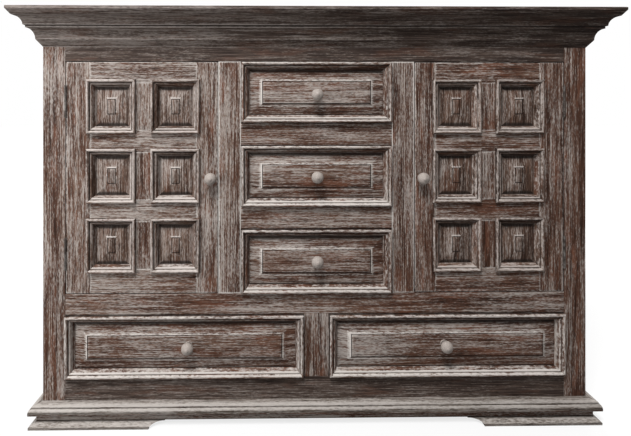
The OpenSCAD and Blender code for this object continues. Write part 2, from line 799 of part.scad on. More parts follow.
// Catches behind the inner stiles, each with a lip that the closed door rests near
catch_l = 30;
catch_d = 14;
catch_lap = 18;
module door_catches()
    color(steel)
        for (s = [0, 1])
            mirror([s, 0, 0]) {
                z = [upper_bay_top_z - 2 * catch_l, upper_bay_top_z - catch_l];
                union() {
                    block([bay_in_x - catch_lap, bay_in_x], [frame_y, frame_y + catch_d], z);
                    block([bay_in_x - 1, bay_in_x + catch_lap],
                        [frame_y + catch_gap, frame_y + catch_d], z);
                }
            }

front_post_left();
front_post_right();
rear_posts();
side_rails();
side_panel_left();
side_panel_right();
back_panel();
top_board();
bottom_board();
divider_board();
partitions();
lower_partition();
shelves();
rail_top();
rail_middle();
rail_bottom();
outer_stiles();
inner_stiles();
drawer_rails();
mullion();
crown_front();
crown_left();
crown_right();
base_front();
base_left();
base_right();
base_rear();
foot_front_left();
foot_front_right();
foot_rear_left();
foot_rear_right();
drawer_runners();
hinge_leaves();
door_catches();
small_front(0);  // drawer_top_front
small_box(0);  // drawer_top_box
small_knob(0);  // drawer_top_knob
small_front(1);  // drawer_middle_front
small_box(1);  // drawer_middle_box
small_knob(1);  // drawer_middle_knob
small_front(2);  // drawer_bottom_front
small_box(2);  // drawer_bottom_box
small_knob(2);  // drawer_bottom_knob
left_hand() wide_front();  // drawer_wide_left_front
left_hand() wide_box();  // drawer_wide_left_box
left_hand() wide_knob();  // drawer_wide_left_knob
wide_front();  // drawer_wide_right_front
wide_box();  // drawer_wide_right_box
wide_knob();  // drawer_wide_right_knob
left_hand() door_frame();  // door_left_frame
left_hand() door_panels();  // door_left_panels
left_hand() door_mouldings();  // door_left_mouldings
left_hand() door_knob();  // door_left_knob
left_hand() leaf_set(1, door_out_x, true);  // door_left_hinges
door_frame();  // door_right_frame
door_panels();  // door_right_panels
door_mouldings();  // door_right_mouldings
door_knob();  // door_right_knob
leaf_set(1, door_out_x, true);  // door_right_hinges
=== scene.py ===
# %% [markdown]
# # A limed-wood dresser
# The dresser is a wide case with two coffered doors, three small drawers between them and two wide
# drawers below. Its oak was brushed until the soft grain stood open, and whitewash was rubbed in
# and wiped off again. The sizes are settled in the CAD frame. This script gives each piece its
# worked shape, its run of grain and its finish, so it loads the frame first.

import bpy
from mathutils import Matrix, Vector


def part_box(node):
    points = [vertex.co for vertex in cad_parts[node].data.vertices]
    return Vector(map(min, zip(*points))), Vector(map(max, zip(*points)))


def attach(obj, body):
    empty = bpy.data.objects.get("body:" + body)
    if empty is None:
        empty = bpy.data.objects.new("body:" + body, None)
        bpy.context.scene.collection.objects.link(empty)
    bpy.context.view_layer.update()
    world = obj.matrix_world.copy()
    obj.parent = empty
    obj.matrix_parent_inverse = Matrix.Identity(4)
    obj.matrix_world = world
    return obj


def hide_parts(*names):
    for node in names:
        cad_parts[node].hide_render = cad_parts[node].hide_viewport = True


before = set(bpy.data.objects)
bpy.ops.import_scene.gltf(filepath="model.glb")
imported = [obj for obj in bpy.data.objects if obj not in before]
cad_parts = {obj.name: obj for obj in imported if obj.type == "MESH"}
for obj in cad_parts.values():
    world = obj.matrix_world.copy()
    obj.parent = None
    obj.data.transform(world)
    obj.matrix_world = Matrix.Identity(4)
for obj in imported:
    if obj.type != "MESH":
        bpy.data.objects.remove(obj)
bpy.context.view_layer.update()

# %% Tools
import math
import random

import bmesh
import bpy
from mathutils import Vector

MM = 0.001
scene = bpy.context.scene
dice = random.Random(19)

# %% [markdown]
# ## The view
# The picture was taken from straight in front, with the lens at about three quarters of the
# dresser's height and aimed level. The lens shift brings the dresser into the frame without
# tilting the camera, which keeps the uprights upright. A very small turn to the right makes the
# right end of the front slightly smaller than the left, as in the photograph.

# %% Camera
EYE = Vector((-0.12135, -1.4115, 0.847))
TURN = math.radians(-0.768)
lens = bpy.data.cameras.new("eye")
lens.sensor_width = 36.0
lens.lens = 25.67
lens.shift_x = 0.0594
lens.shift_y = -0.171
eye = bpy.data.objects.new("eye", lens)
eye.location = EYE
eye.rotation_euler = (math.radians(90), 0.0, TURN)
scene.collection.objects.link(eye)
scene.camera = eye
scene.view_settings.view_transform = "Standard"
print("camera:", [round(c, 3) for c in eye.location], "lens", lens.lens)

# %% [markdown]
# ## Shader sums in plain Python
# A finish is a chain of many small sums on masks, which are hard to read as single nodes. So a
# small class wraps an output socket and gives it the usual signs: `1 - mask * 0.5` adds its Math
# nodes by itself. Every other kind of node comes from one method.

# %% Wrapped sockets
class Mask:
    """An output socket that takes part in sums."""

    def __init__(self, finish, socket):
        self.finish = finish
        self.socket = socket

    def out(self, key):
        """Another output of the same node."""
        return Mask(self.finish, self.socket.node.outputs[key])

    def sum(self, sign, first, second):
        return self.finish.add("ShaderNodeMath", {"operation": sign}, {0: first, 1: second})

    def __add__(self, other):
        return self.sum("ADD", self, other)

    def __radd__(self, other):
        return self.sum("ADD", other, self)

    def __sub__(self, other):
        return self.sum("SUBTRACT", self, other)

    def __rsub__(self, other):
        return self.sum("SUBTRACT", other, self)

    def __mul__(self, other):
        return self.sum("MULTIPLY", self, other)


class Finish:
    """A material, or the sky, that is built up node by node."""

    def __init__(self, name, owner=None):
        self.owner = owner or bpy.data.materials.new(name)
        self.owner.use_nodes = True
        self.tree = self.owner.node_tree
        self.tree.nodes.clear()

    def add(self, kind, settings=None, sockets=None):
        """One node: its settings first, then its values and links. Gives its first output."""
        node = self.tree.nodes.new(kind)
        for key, value in (settings or {}).items():
            if key == "stops":
                ramp = node.color_ramp
                while len(ramp.elements) < len(value):
                    ramp.elements.new(0.5)
                for stop, (place, colour) in zip(ramp.elements, value):
                    stop.position = place
                    stop.color = solid(*colour)
            else:
                setattr(node, key, value)
        for key, value in (sockets or {}).items():
            if isinstance(value, Mask):
                self.tree.links.new(value.socket, node.inputs[key])
            else:
                node.inputs[key].default_value = value
        return Mask(self, node.outputs[0] if node.outputs else None)

    def attribute(self, name, key="Fac"):
        return self.add("ShaderNodeAttribute", {"attribute_name": name}).out(key)

    def stretched(self, place, along, across):
        """The same place, counted in waves per metre along and across the grain."""
        return self.add("ShaderNodeVectorMath", {"operation": "MULTIPLY"},
                        {0: place, 1: (along, across, across)})

    def noise(self, place, along, across, detail=2.0, rough=0.6, twist=0.0):
        return self.add("ShaderNodeTexNoise", {},
                        {"Vector": self.stretched(place, along, across), "Scale": 1.0,
                         "Detail": detail, "Roughness": rough, "Distortion": twist})

    def step(self, value, low, high):
        """0 below low, 1 above high, with a soft rise between them."""
        return self.add("ShaderNodeMapRange", {"interpolation_type": "SMOOTHSTEP"},
                        {"Value": value, "From Min": low, "From Max": high})

    def ramp(self, value, places, colours):
        stops = list(zip(places, colours))
        return self.add("ShaderNodeValToRGB", {"stops": stops}, {"Fac": value})

    def mix(self, amount, under, over):
        sockets = {0: amount, 6: under, 7: solid(*over)}
        return self.add("ShaderNodeMix", {"data_type": "RGBA"}, sockets).out(2)

    def surface(self, colour, rough, height, depth, strength, constants):
        """Ends a finish: height makes the bump, and constants hold all over the piece."""
        bump = self.add("ShaderNodeBump", {}, {"Height": height, "Strength": strength,
                                               "Distance": depth})
        shader = self.add("ShaderNodeBsdfPrincipled", {}, {
            "Base Color": colour, "Roughness": rough, "Normal": bump, **constants})
        self.add("ShaderNodeOutputMaterial", {}, {"Surface": shader})
        return self.owner


def solid(red, green, blue):
    """A colour as it shows on screen, 0 to 255, turned into the renderer's own numbers."""
    out = []
    for part in (red / 255, green / 255, blue / 255):
        out.append(part / 12.92 if part < 0.04045 else ((part + 0.055) / 1.055) ** 2.4)
    return (*out, 1.0)


print("shader helpers ready")

# %% [markdown]
# ## Limed oak
# Brushed oak shows several things at once: broad bands of lighter and darker wood, streaks and
# flecks of whitewash that lie in the open grain, fine dark pores, and warm patches where the old
# stain shows. Whitewash has built up on arrises and on the crests of mouldings, and corners hold
# dirt. Painted highlights and painted shade are laid over these: faces turned up or to the left are
# painted paler, and hollows, gaps and faces turned down are painted darker. Every board runs its
# own way, so each piece carries four attributes: `grain`, its own coordinates with the first one
# along the grain, the wash, how near an arris is, together with the painted highlight, the dirt,
# how deep a corner is, together with the painted shade, and `tone`, how pale the board is, which is
# also painted darker towards the right.

# %% Limed wood
RUBBED_LIFT = 24


def limed_wood(name, woods, wash, wash_level, red_level, arris_level):
    """woods are the oak's deep, middle and light colours, wash is the whitewash's."""
    f = Finish(name)
    grain = f.attribute("grain", "Vector")
    lime = f.attribute("lime")
    grime = f.attribute("grime")
    tone = f.attribute("tone")
    band = f.noise(grain, 3.0, 50.0, 3.0)
    streak = f.noise(grain, 9.0, 330.0)
    hair = f.noise(grain, 30.0, 800.0)
    patch = f.noise(grain, 6.0, 17.0, twist=0.4)
    fleck = f.noise(grain, 95.0, 420.0, rough=0.65)
    warm = f.noise(f.stretched(grain, 1.0, -1.0), 6.0, 34.0, 3.0, twist=0.3)
    pore = f.noise(f.stretched(grain, -1.0, 1.0), 36.0, 420.0)
    # The oak itself, with the reddish patches of old stain.
    wood = f.ramp(band * 0.45 + streak * 0.55 + tone * 0.05, (0.36, 0.49, 0.62), woods)
    wood = f.mix(f.step(warm, 0.52, 0.66) * red_level, wood, (114, 74, 56))
    # Whitewash lies where the grain is open, and the pores stay dark where there is none.
    level = streak * 0.38 + hair * 0.22 + fleck * 0.4 + (patch - 0.5) * 0.23
    level = level + (band - 0.5) * 0.2 + tone * 0.03 + lime * 0.05
    start = 0.49 - wash_level * 0.1
    washed = f.step(level, start + 0.01, start + 0.18)
    wood = f.mix(washed * 0.8, wood, wash)
    dark_line = f.step(pore, 0.53, 0.66) * (1.0 - washed * 0.4)
    wood = f.mix(dark_line * 0.7, wood, (32, 22, 17))
    # A second, brighter coat on the arrises, broken up by the flecks. It also paints the
    # highlights, and it is painted heavier where the tone is paler, to the left. Then dirt and
    # painted shade over all of it.
    rubbed_and_highlight = f.step(lime * 0.8 + (fleck - 0.5) * 0.9 + (patch - 0.5) * 0.4, 0.3, 0.7)
    rub_and_highlight_colour = [c + RUBBED_LIFT for c in wash]
    wood = f.mix(rubbed_and_highlight * (arris_level * 0.85 + tone * 0.35), wood, rub_and_highlight_colour)
    # Dirt and painted shade: hollows, gaps and faces turned down are painted dark.
    dirt_and_shade_mask = f.step(grime + (patch - 0.5) * 0.3, 0.1, 1.0)
    wood = f.mix(dirt_and_shade_mask * 0.85, wood, (22, 16, 13))
    height = streak * 0.6 + hair * 0.3 - dark_line * 0.5 + washed * 0.15
    return f.surface(wood, 0.62 + washed * 0.2, height, 0.0008, 0.7, {"Specular IOR Level": 0.15})


OAKS = {
    "limed_oak": (((44, 26, 18), (84, 56, 43), (112, 87, 73)), (178, 171, 165), 0.4, 0.55, 0.9),
    "limed_oak_pale": (((46, 31, 24), (94, 72, 60), (126, 107, 96)), (172, 163, 157),
                       0.5, 0.4, 0.9),
    "limed_oak_dark": (((44, 34, 30), (78, 65, 58), (104, 92, 86)), (144, 135, 129), 0.3, 0.2, 0.3),
    "limed_oak_ledge": (((74, 64, 56), (118, 108, 100), (148, 140, 133)), (172, 165, 159),
                        0.7, 0.05, 0.8),
}
OAK, PALE_OAK, DARK_OAK, LEDGE_OAK = [limed_wood(name, *made_of) for name, made_of in OAKS.items()]
print("limed oak:", list(OAKS))

# %% [markdown]
# ## Knobs, insides and iron
# The knobs are turned from a pale close-grained wood and rubbed with the same wash. Inside, all is
# bare softwood with quiet yearly rings. Both read the attributes too. The hinges and catches are
# dull steel, a little scratched, which reads object coordinates, as most of it is on CAD pieces.

# %% Knob wood, bare wood and steel
def knob_wood():
    f = Finish("knob_wood")
    grain = f.attribute("grain", "Vector")
    line = f.noise(grain, 60.0, 420.0)
    spot = f.noise(grain, 300.0, 900.0)
    wood = f.ramp(line * 0.6 + spot * 0.4, (0.34, 0.5, 0.64),
                  ((100, 89, 81), (144, 133, 125), (172, 162, 154)))
    wood = f.mix(f.attribute("lime") * 0.4, wood, (182, 173, 167))
    # Dirt and painted shade under the head darken the neck.
    wood = f.mix(f.step(f.attribute("grime"), 0.2, 0.9) * 0.75, wood, (40, 31, 27))
    height = line + spot * 0.4
    return f.surface(wood, 0.5 + spot * 0.2, height, 0.0003, 0.5, {"Specular IOR Level": 0.35})


def bare_wood():
    f = Finish("bare_wood")
    grain = f.attribute("grain", "Vector")
    ring = f.noise(grain, 1.6, 42.0, rough=0.5, twist=0.5)
    fine = f.noise(grain, 14.0, 700.0)
    wood = f.ramp(ring, (0.36, 0.5, 0.64), ((176, 138, 98), (201, 168, 127), (214, 186, 148)))
    wood = f.mix(f.step(fine, 0.5, 0.72) * 0.35, wood, (150, 112, 76))
    wood = f.mix(f.attribute("lime") * 0.25, wood, (222, 200, 168))
    height = ring * 0.6 + fine * 0.4
    return f.surface(wood, 0.6 + fine * 0.15, height, 0.0003, 0.5, {"Specular IOR Level": 0.3})


def hinge_steel():
    f = Finish("hinge_steel")
    place = f.add("ShaderNodeTexCoord").out("Object")
    scratch = f.noise(place, 900.0, 90.0, 3.0)
    stain = f.noise(place, 70.0, 60.0, 3.0)
    metal = f.ramp(stain, (0.35, 0.5, 0.65), ((58, 50, 45), (92, 86, 82), (124, 120, 116)))
    return f.surface(metal, 0.42 + scratch * 0.3, scratch, 0.0001, 0.4, {"Metallic": 0.85})


KNOB_WOOD = knob_wood()
BARE_WOOD = bare_wood()
STEEL = hinge_steel()
print("other finishes:", KNOB_WOOD.name, BARE_WOOD.name, STEEL.name)

# %% [markdown]
# ## Boards with a run of grain
# A board is a cube brought to size, but a sharp cube looks like plastic. Its arrises are eased by
# half a millimetre, and each flat gets a narrow inset, so the wash can fade from its edges
# inwards. Then the attributes are written at the corners of the faces. The narrow faces of the
# front's boards are painted dark, as dirt in the joints and painted shade in the gaps, which draws
# the joints. No two boards took the wash alike, so each has its own tone. The tone is also painted
# darker towards the right, as light falling off from the left, so those on the right are browner.

# %% Attributes on a piece
SHADES = ("lime", "grime", "tone")
AXES = {"x": (0, 2, 1), "y": (1, 2, 0), "z": (2, 0, 1)}
# How far the boards' tones lie apart, and by how much a tone is painted darker per metre to the
# right, as painted light falling off from the left. The crown's tone falls faster.
TONE_SPREAD = 0.9
PAINTED_LIGHT_FALL = 0.75
CROWN_PAINTED_LIGHT_FALL = 2.2
piece_count = []


def new_piece():
    piece = bmesh.new()
    piece.loops.layers.float_vector.new("grain")
    for name in SHADES:
        piece.loops.layers.float.new(name)
    return piece


def fresh_wood():
    """Somewhere else in the tree, so that no two boards look alike."""
    return Vector([dice.uniform(0, 8) for i in range(3)])


def paint(piece, faces, along, wood, wear, tone=0.0, depth=1.0, fall=PAINTED_LIGHT_FALL):
    """Writes the grain's direction, the tone with its painted fall of light to the right, and each
    corner's wash and dirt, with their painted highlight and shade, from wear.
    """
    grain = piece.loops.layers.float_vector["grain"]
    lime, grime, pale = [piece.loops.layers.float[name] for name in SHADES]
    own = (wood.x % 1.0 - 0.5) * TONE_SPREAD + tone
    first, second, third = AXES[along]
    for face in faces:
        for loop in face.loops:
            at = loop.vert.co
            loop[grain] = wood + Vector((at[first], at[second], at[third] * depth))
            loop[lime], loop[grime] = wear.get(loop.vert, (0.0, 0.0))
            # Painted light: the tone is painted paler to the left and darker to the right.
            loop[pale] = own - at.x * fall


def join(piece, part):
    """Adds a finished part to a piece."""
    mesh = bpy.data.meshes.new("part")
    part.to_mesh(mesh)
    part.free()
    piece.from_mesh(mesh)
    bpy.data.meshes.remove(mesh)


def extruded(part, face, kind):
    """Extrudes a face, and gives what is new of one kind."""
    out = bmesh.ops.extrude_face_region(part, geom=[face])["geom"]
    return [g for g in out if isinstance(g, kind)]


def rise(part, face, first):
    """Extrudes a face; the old one stays only where it closes the back of the piece."""
    cap = extruded(part, face, bmesh.types.BMFace)[0]
    if face is not first:
        bmesh.ops.delete(part, geom=[face], context="FACES_ONLY")
    return cap


def ease(part, offset):
    """Takes the sharpness off all arrises."""
    bmesh.ops.bevel(part, geom=part.edges[:], offset=offset, offset_type="OFFSET", segments=2,
                    profile=0.5, affect="EDGES", material=-1)


def board(piece, low, high, along, arris=0.5 * MM, fade=6 * MM, lime=0.1, gap=0.0, tone=0.0):
    """The arrises take a little wash, and a front board's narrow faces a dark mark: dirt in the
    joints and painted shade in the gaps.
    """
    low = Vector(low)
    high = Vector(high)
    part = new_piece()
    verts = bmesh.ops.create_cube(part, size=1.0)["verts"]
    bmesh.ops.scale(part, vec=high - low, verts=verts)
    bmesh.ops.translate(part, vec=(low + high) / 2, verts=verts)
    ease(part, min(arris, min(high - low) * 0.2))
    part.normal_update()
    # The flats look straight along an axis; the eased arrises don't.
    flats = [f for f in part.faces if max(abs(c) for c in f.normal) > 0.9999]
    inner = set()
    for flat in flats:
        side = min(e.calc_length() for e in flat.edges)
        bmesh.ops.inset_individual(part, faces=[flat], thickness=min(fade, side * 0.3),
                                   use_even_offset=True)
        inner.update(flat.verts)
    wear = {v: (0.0 if v in inner else lime, 0.0) for v in part.verts}
    wood = fresh_wood()
    paint(part, part.faces, along, wood, wear, tone)
    # Dirt and painted shade in the gaps: the narrow faces are painted dark.
    if gap:
        narrow = [f for f in part.faces if abs(f.normal.y) < 0.1]
        paint(part, narrow, along, wood, {v: (0.0, gap) for v in part.verts}, tone)
    join(piece, part)


def finish_piece(piece, node, material, body="case", smooth=38):
    """Turns a bmesh into an object that rides on its body and stands for its CAD node."""
    bmesh.ops.recalc_face_normals(piece, faces=piece.faces)
    mesh = bpy.data.meshes.new(node + "_piece")
    piece.to_mesh(mesh)
    piece.free()
    mesh.shade_smooth()
    mesh.set_sharp_from_angle(angle=math.radians(smooth))
    mesh.materials.append(material)
    made = bpy.data.objects.new(node + "_piece", mesh)
    scene.collection.objects.link(made)
    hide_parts(node)
    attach(made, body)
    piece_count.append(len(mesh.polygons))
    return made


def boards(node, material, along, sizes=None, **wear):
    """One piece from several boards, or from one that fills its CAD node's box."""
    piece = new_piece()
    for low, high in sizes or [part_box(node)]:
        board(piece, low, high, along, **wear)
    finish_piece(piece, node, material)


def mirrored(low, high):
    """A board on the right, and its twin on the left."""
    return [(low, high), ((-high[0], low[1], low[2]), (-low[0], high[1], high[2]))]


print("board helpers ready")

# %% [markdown]
# ## The case's lines
# All boards meet on a few lines: the faces of the posts, the face of the front frame, and the
# heights of rails and bays. They are read once, so the pieces can't drift apart.

# %% Lines of the case
post_low, post_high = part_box("front_post_right")
rear_low, rear_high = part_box("rear_posts")
rail_low, rail_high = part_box("rail_middle")
rails_low, rails_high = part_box("drawer_rails")
stile_low, stile_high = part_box("inner_stiles")
part_low, part_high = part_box("partitions")
half_w = post_high.x
post_x = post_low.x
front_y = post_low.y
post_y = post_high.y
frame_y = rail_high.y
rear_y = rear_low.y
back_y = rear_high.y
back_in_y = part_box("back_panel")[0].y
case_z = post_low.z
top_z = post_high.z
bay_x = rail_high.x
mullion_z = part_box("mullion")[0].z
side_in_x = 718 * MM
print("case:", round(2 * half_w, 3), "wide,", round(back_y - front_y, 3), "deep,",
      round(top_z - case_z, 3), "high")

# %% [markdown]
# ## Posts, stiles and rails
# The face frame is glued up from posts, stiles and rails that lie flush. Their joints show as fine
# dark lines, where dirt and painted shade fill the gap, and as a change in the grain's direction.
# The left post is the darkest upright, and the rails at the top and bottom are painted darker and
# greyer than the rest.

# %% Face frame
for node, tone in (("front_post_left", -0.7), ("front_post_right", 0.2)):
    boards(node, OAK, "z", tone=tone)
boards("rear_posts", OAK, "z", mirrored((post_x, rear_y, case_z), (half_w, back_y, top_z)))
boards("outer_stiles", OAK, "z",
       mirrored((bay_x, front_y, case_z), (post_x, frame_y, top_z)), gap=1.0)
boards("inner_stiles", OAK, "z",
       mirrored((rails_high.x, front_y, stile_low.z), (stile_high.x, frame_y, stile_high.z)),
       lime=0.9, tone=0.2, gap=1.0)
boards("mullion", OAK, "z", gap=1.0)
RAILS = {"rail_middle": (OAK, 0.6), "rail_bottom": (DARK_OAK, -0.3), "rail_top": (DARK_OAK, -0.9)}
for node, (oak, tone) in RAILS.items():
    boards(node, oak, "x", lime=0.2, tone=tone, gap=1.0)
rail_h = 59 * MM
boards("drawer_rails", OAK, "x",
       [((rails_low.x, front_y, z), (rails_high.x, frame_y, z + rail_h))
        for z in (rails_low.z, rails_high.z - rail_h)], lime=0.3, tone=0.5, gap=1.0)
print("face frame done")

# %% [markdown]
# ## Sides and back
# Each side is a frame of three rails between the posts, with two flat panels set back in it. The
# back is made of thin upright boards, whose bevels make small V-grooves at the joints.

# %% Sides and back
low_rail_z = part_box("side_panel_right")[0].z
side_sizes = []
for low_z, high_z in ((case_z, low_rail_z), (rail_low.z, rail_high.z), (stile_high.z, top_z)):
    side_sizes += mirrored((side_in_x, post_y, low_z), (half_w, rear_y, high_z))
boards("side_rails", OAK, "y", side_sizes)
for node in ("side_panel_left", "side_panel_right"):
    low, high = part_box(node)
    panels = [(low, (high.x, high.y, rail_low.z)), ((low.x, low.y, rail_high.z), high)]
    boards(node, PALE_OAK, "z", panels, lime=0.4)

BACK_BOARDS = 14
back_low, back_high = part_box("back_panel")
pitch = (back_high.x - back_low.x) / BACK_BOARDS
boards("back_panel", OAK, "z",
       [((back_low.x + i * pitch, back_low.y, back_low.z),
         (back_low.x + (i + 1) * pitch, back_high.y, back_high.z)) for i in range(BACK_BOARDS)],
       arris=1.6 * MM)
print("sides and back done:", BACK_BOARDS, "boards")

# %% [markdown]
# ## Floors, partitions and shelves
# The inside boards are plain softwood. The two floors are cut round the four posts, so each starts
# as a flat outline of twelve corners that is extruded to its thickness.

# %% Inside boards
right_edge = [(post_x, frame_y), (post_x, post_y), (side_in_x, post_y), (side_in_x, rear_y),
              (post_x, rear_y), (post_x, back_in_y)]
notched = [(-post_x, frame_y)] + right_edge + [(-x, y) for x, y in right_edge[:0:-1]]
for node in ("bottom_board", "divider_board"):
    low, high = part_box(node)
    piece = new_piece()
    face = piece.faces.new([piece.verts.new((x, y, low.z)) for x, y in notched])
    risen = extruded(piece, face, bmesh.types.BMVert)
    bmesh.ops.translate(piece, vec=(0, 0, high.z - low.z), verts=risen)
    ease(piece, 1 * MM)
    paint(piece, piece.faces, "x", fresh_wood(), {})
    finish_piece(piece, node, BARE_WOOD)
board_t = 18 * MM
boards("partitions", BARE_WOOD, "z",
       mirrored((part_high.x - board_t, frame_y, part_low.z), part_high))
boards("lower_partition", BARE_WOOD, "z")
shelf_low, shelf_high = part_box("shelves")
boards("shelves", BARE_WOOD, "x", mirrored((part_high.x, shelf_low.y, shelf_low.z), shelf_high))
print("inside boards done")

# %% Runners, guides and catches
RUNNER_H = 16 * MM
RUNNER_W = 14 * MM
GUIDE_H = 18 * MM
PLAY = 1 * MM
SMALL_BOX_X = 200 * MM
WIDE_BOX_X = (39.5 * MM, 674 * MM)
CATCH_IN_X = 249 * MM


def runner_sizes():
    """A runner under each box's edge, and a guide beside it, both as far as the next wall."""
    floor_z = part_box("bottom_board")[1].z
    edges = [(SMALL_BOX_X, -1, part_high.x - board_t, max(z - RUNNER_H, part_low.z), z)
             for z in (rails_high.z, rails_low.z + rail_h, stile_low.z)]
    edges.append((WIDE_BOX_X[0], 1, board_t / 2, floor_z, mullion_z))
    edges.append((WIDE_BOX_X[1], -1, post_x, floor_z, mullion_z))
    out = []
    for box_x, way, wall_x, low_z, high_z in edges:
        strips = ((box_x + way * RUNNER_W, low_z, high_z),
                  (box_x - way * PLAY, high_z, high_z + GUIDE_H))
        for edge_x, under, over in strips:
            out += mirrored((min(edge_x, wall_x), frame_y, under),
                            (max(edge_x, wall_x), back_in_y, over))
    return out


boards("drawer_runners", BARE_WOOD, "y", runner_sizes())
catch_low, catch_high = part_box("door_catches")
boards("door_catches", STEEL, "z", mirrored((CATCH_IN_X, catch_low.y, catch_low.z), catch_high))
print("runners done:", len(runner_sizes()), "strips")

# %% [markdown]
# ## Wear and shade along a profile
# A moulding's outline says where whitewash gathers: on the ridges, where the outline turns
# outwards. Where it turns inwards, the hollow is painted dark, as dirt and as painted shade. So a
# helper measures the turn at each point, and adds a point near both ends of a long straight part,
# so that the wear stays close to the arris.

# %% Worn and shaded outlines
FULL_TURN = 50


def turn_at(before, here, after):
    """The angle, in degrees, by which the outline turns to the left at a point."""
    first = (here[0] - before[0], here[1] - before[1])
    second = (after[0] - here[0], after[1] - here[1])
    cross = first[0] * second[1] - first[1] * second[0]
    dot = first[0] * second[0] + first[1] * second[1]
    return math.degrees(math.atan2(cross, dot))


def wear_and_shade(points, reach=4 * MM):
    """A closed outline, with the wood on its left, as (a, b, wash, dirt and painted shade) at each
    point.
    """
    count = len(points)
    rated = []
    for i, here in enumerate(points):
        ridge = turn_at(points[i - 1], here, points[(i + 1) % count]) / FULL_TURN
        rated.append((*here, min(max(ridge, 0.0), 1.0), min(max(-ridge, 0.0), 1.0)))
    out = []
    for i, here in enumerate(rated):
        out.append(here)
        after = rated[(i + 1) % count]
        length = math.hypot(after[0] - here[0], after[1] - here[1])
        if length > 2.2 * reach:
            for part in (reach / length, 1 - reach / length):
                out.append((here[0] + (after[0] - here[0]) * part,
                            here[1] + (after[1] - here[1]) * part, 0.0, 0.0))
    return out


def arc(centre, radii, start, end, steps):
    """Points on an ellipse between two angles in degrees."""
    out = []
    for i in range(steps + 1):
        angle = math.radians(start + (end - start) * i / steps)
        out.append((centre[0] + radii[0] * math.cos(angle),
                    centre[1] + radii[1] * math.sin(angle)))
    return out


print("a square corner turns by", turn_at((0, 0), (1, 0), (1, 1)), "degrees")

# %% [markdown]
# ## Crown and base
# Both are runs of moulding. One face with the outline is extruded along the run, and each of its
# corners is moved by as much as it stands out from the case, which cuts the mitre at the front
# corners. The crown is two coves with a chamfer under them. The base is a ledge with a beaded edge
# over a plinth, and the plinth's faces are of browner oak.

# %% Runs of moulding
PLINTH_TONE = 1.2


def run_of_moulding(kind, where, outline, material, wash=None):
    """where is front, left or right. The outline gives (how far it stands out, height)."""
    piece = new_piece()
    rated = wear_and_shade(outline)

    def place(out, z, end):
        if where == "front":
            return Vector((end * (half_w + out), front_y - out, z))
        side = 1 if where == "right" else -1
        return Vector((side * (half_w + out), front_y - out if end < 0 else back_y, z))

    first = [piece.verts.new(place(point[0], point[1], -1)) for point in rated]
    wear = {vert: point[2:] for vert, point in zip(first, rated)}
    face = piece.faces.new(first)
    for vert in extruded(piece, face, bmesh.types.BMVert):
        near = min(range(len(first)), key=lambda i: (first[i].co - vert.co).length_squared)
        vert.co = place(rated[near][0], rated[near][1], 1)
        wear[vert] = rated[near][2:]
    if wash:
        wear = {v: wash(rated[i % len(rated)][0], v.co.z) for i, v in enumerate(wear)}
    run = "x" if where == "front" else "y"
    wood = fresh_wood()
    # The crown is painted with a steeper fall of light towards the right.
    paint(piece, piece.faces, run, wood, wear, fall=PAINTED_LIGHT_FALL if wash else CROWN_PAINTED_LIGHT_FALL)
    plinth = [f for f in piece.faces if wash and f.calc_center_median().z < LEDGE_Z + 4 * MM]
    paint(piece, plinth, run, wood, wear, PLINTH_TONE)
    for face in plinth:
        face.material_index = 1
    made = finish_piece(piece, kind + "_" + where, material, smooth=30)
    made.data.materials.append(OAK)


crown_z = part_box("crown_front")[0].z
LOWER_OUT = 31.5 * MM
LOWER_H = 54 * MM
LOWER_COVE_H = 28.5 * MM
CHAMFER = (14 * MM, 19 * MM)
UPPER_IN = 36 * MM
UPPER_OUT = 56 * MM
upper_z = crown_z + LOWER_H
crown_outline = [(0.0, crown_z)]
crown_outline += arc((LOWER_OUT, crown_z + CHAMFER[1]), (LOWER_OUT - CHAMFER[0], LOWER_COVE_H),
                     180, 90, 10)
crown_outline += [(LOWER_OUT, upper_z)]
crown_outline += arc((UPPER_OUT, upper_z), (UPPER_OUT - UPPER_IN, top_z - upper_z), 180, 90, 8)
crown_outline += [(0.0, top_z)]
for where in ("front", "left", "right"):
    run_of_moulding("crown", where, crown_outline, DARK_OAK)

PLINTH_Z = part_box("base_front")[0].z
LEDGE_Z = PLINTH_Z + 20 * MM
PLINTH_IN = 30 * MM
LEDGE_IN = 60 * MM
ledge_outline = [(-PLINTH_IN, PLINTH_Z), (12 * MM, PLINTH_Z), (12 * MM, LEDGE_Z),
                 (25 * MM, LEDGE_Z), (27 * MM, LEDGE_Z + 1 * MM)]
ledge_outline += arc((21 * MM, LEDGE_Z + 5 * MM), (7 * MM, 13.5 * MM), -12, 76, 7)
ledge_outline += [(21 * MM, LEDGE_Z + 18.5 * MM), (21 * MM, LEDGE_Z + 21.2 * MM),
                  (20.2 * MM, LEDGE_Z + 22 * MM), (0.0, case_z), (-LEDGE_IN, case_z),
                  (-LEDGE_IN, LEDGE_Z), (-PLINTH_IN, LEDGE_Z)]


def ledge_wash_and_shade(out, z):
    """Wash and painted highlight lie on the ledge's top and on the upper half of its bead, which
    face up; dirt and painted shade lie under them.
    """
    up = (z - LEDGE_Z) / MM
    if up > 21:
        return (0.9, 0.0) if out > 15 * MM else (0.0, 0.2)
    if up > 18 and out < 24 * MM:
        return (0.1, 0.6)
    if up > 12:
        return (0.85, 0.0)
    if up > 9:
        return (0.2, 0.3)
    # Painted shade, with dirt: the ledge is painted darker below its bead, and the plinth's lowest
    # edge, just above the feet, darkest.
    if up < -19:
        return (0.0, 0.9)
    return (0.0, 0.5 if up > -0.5 else 0.0)


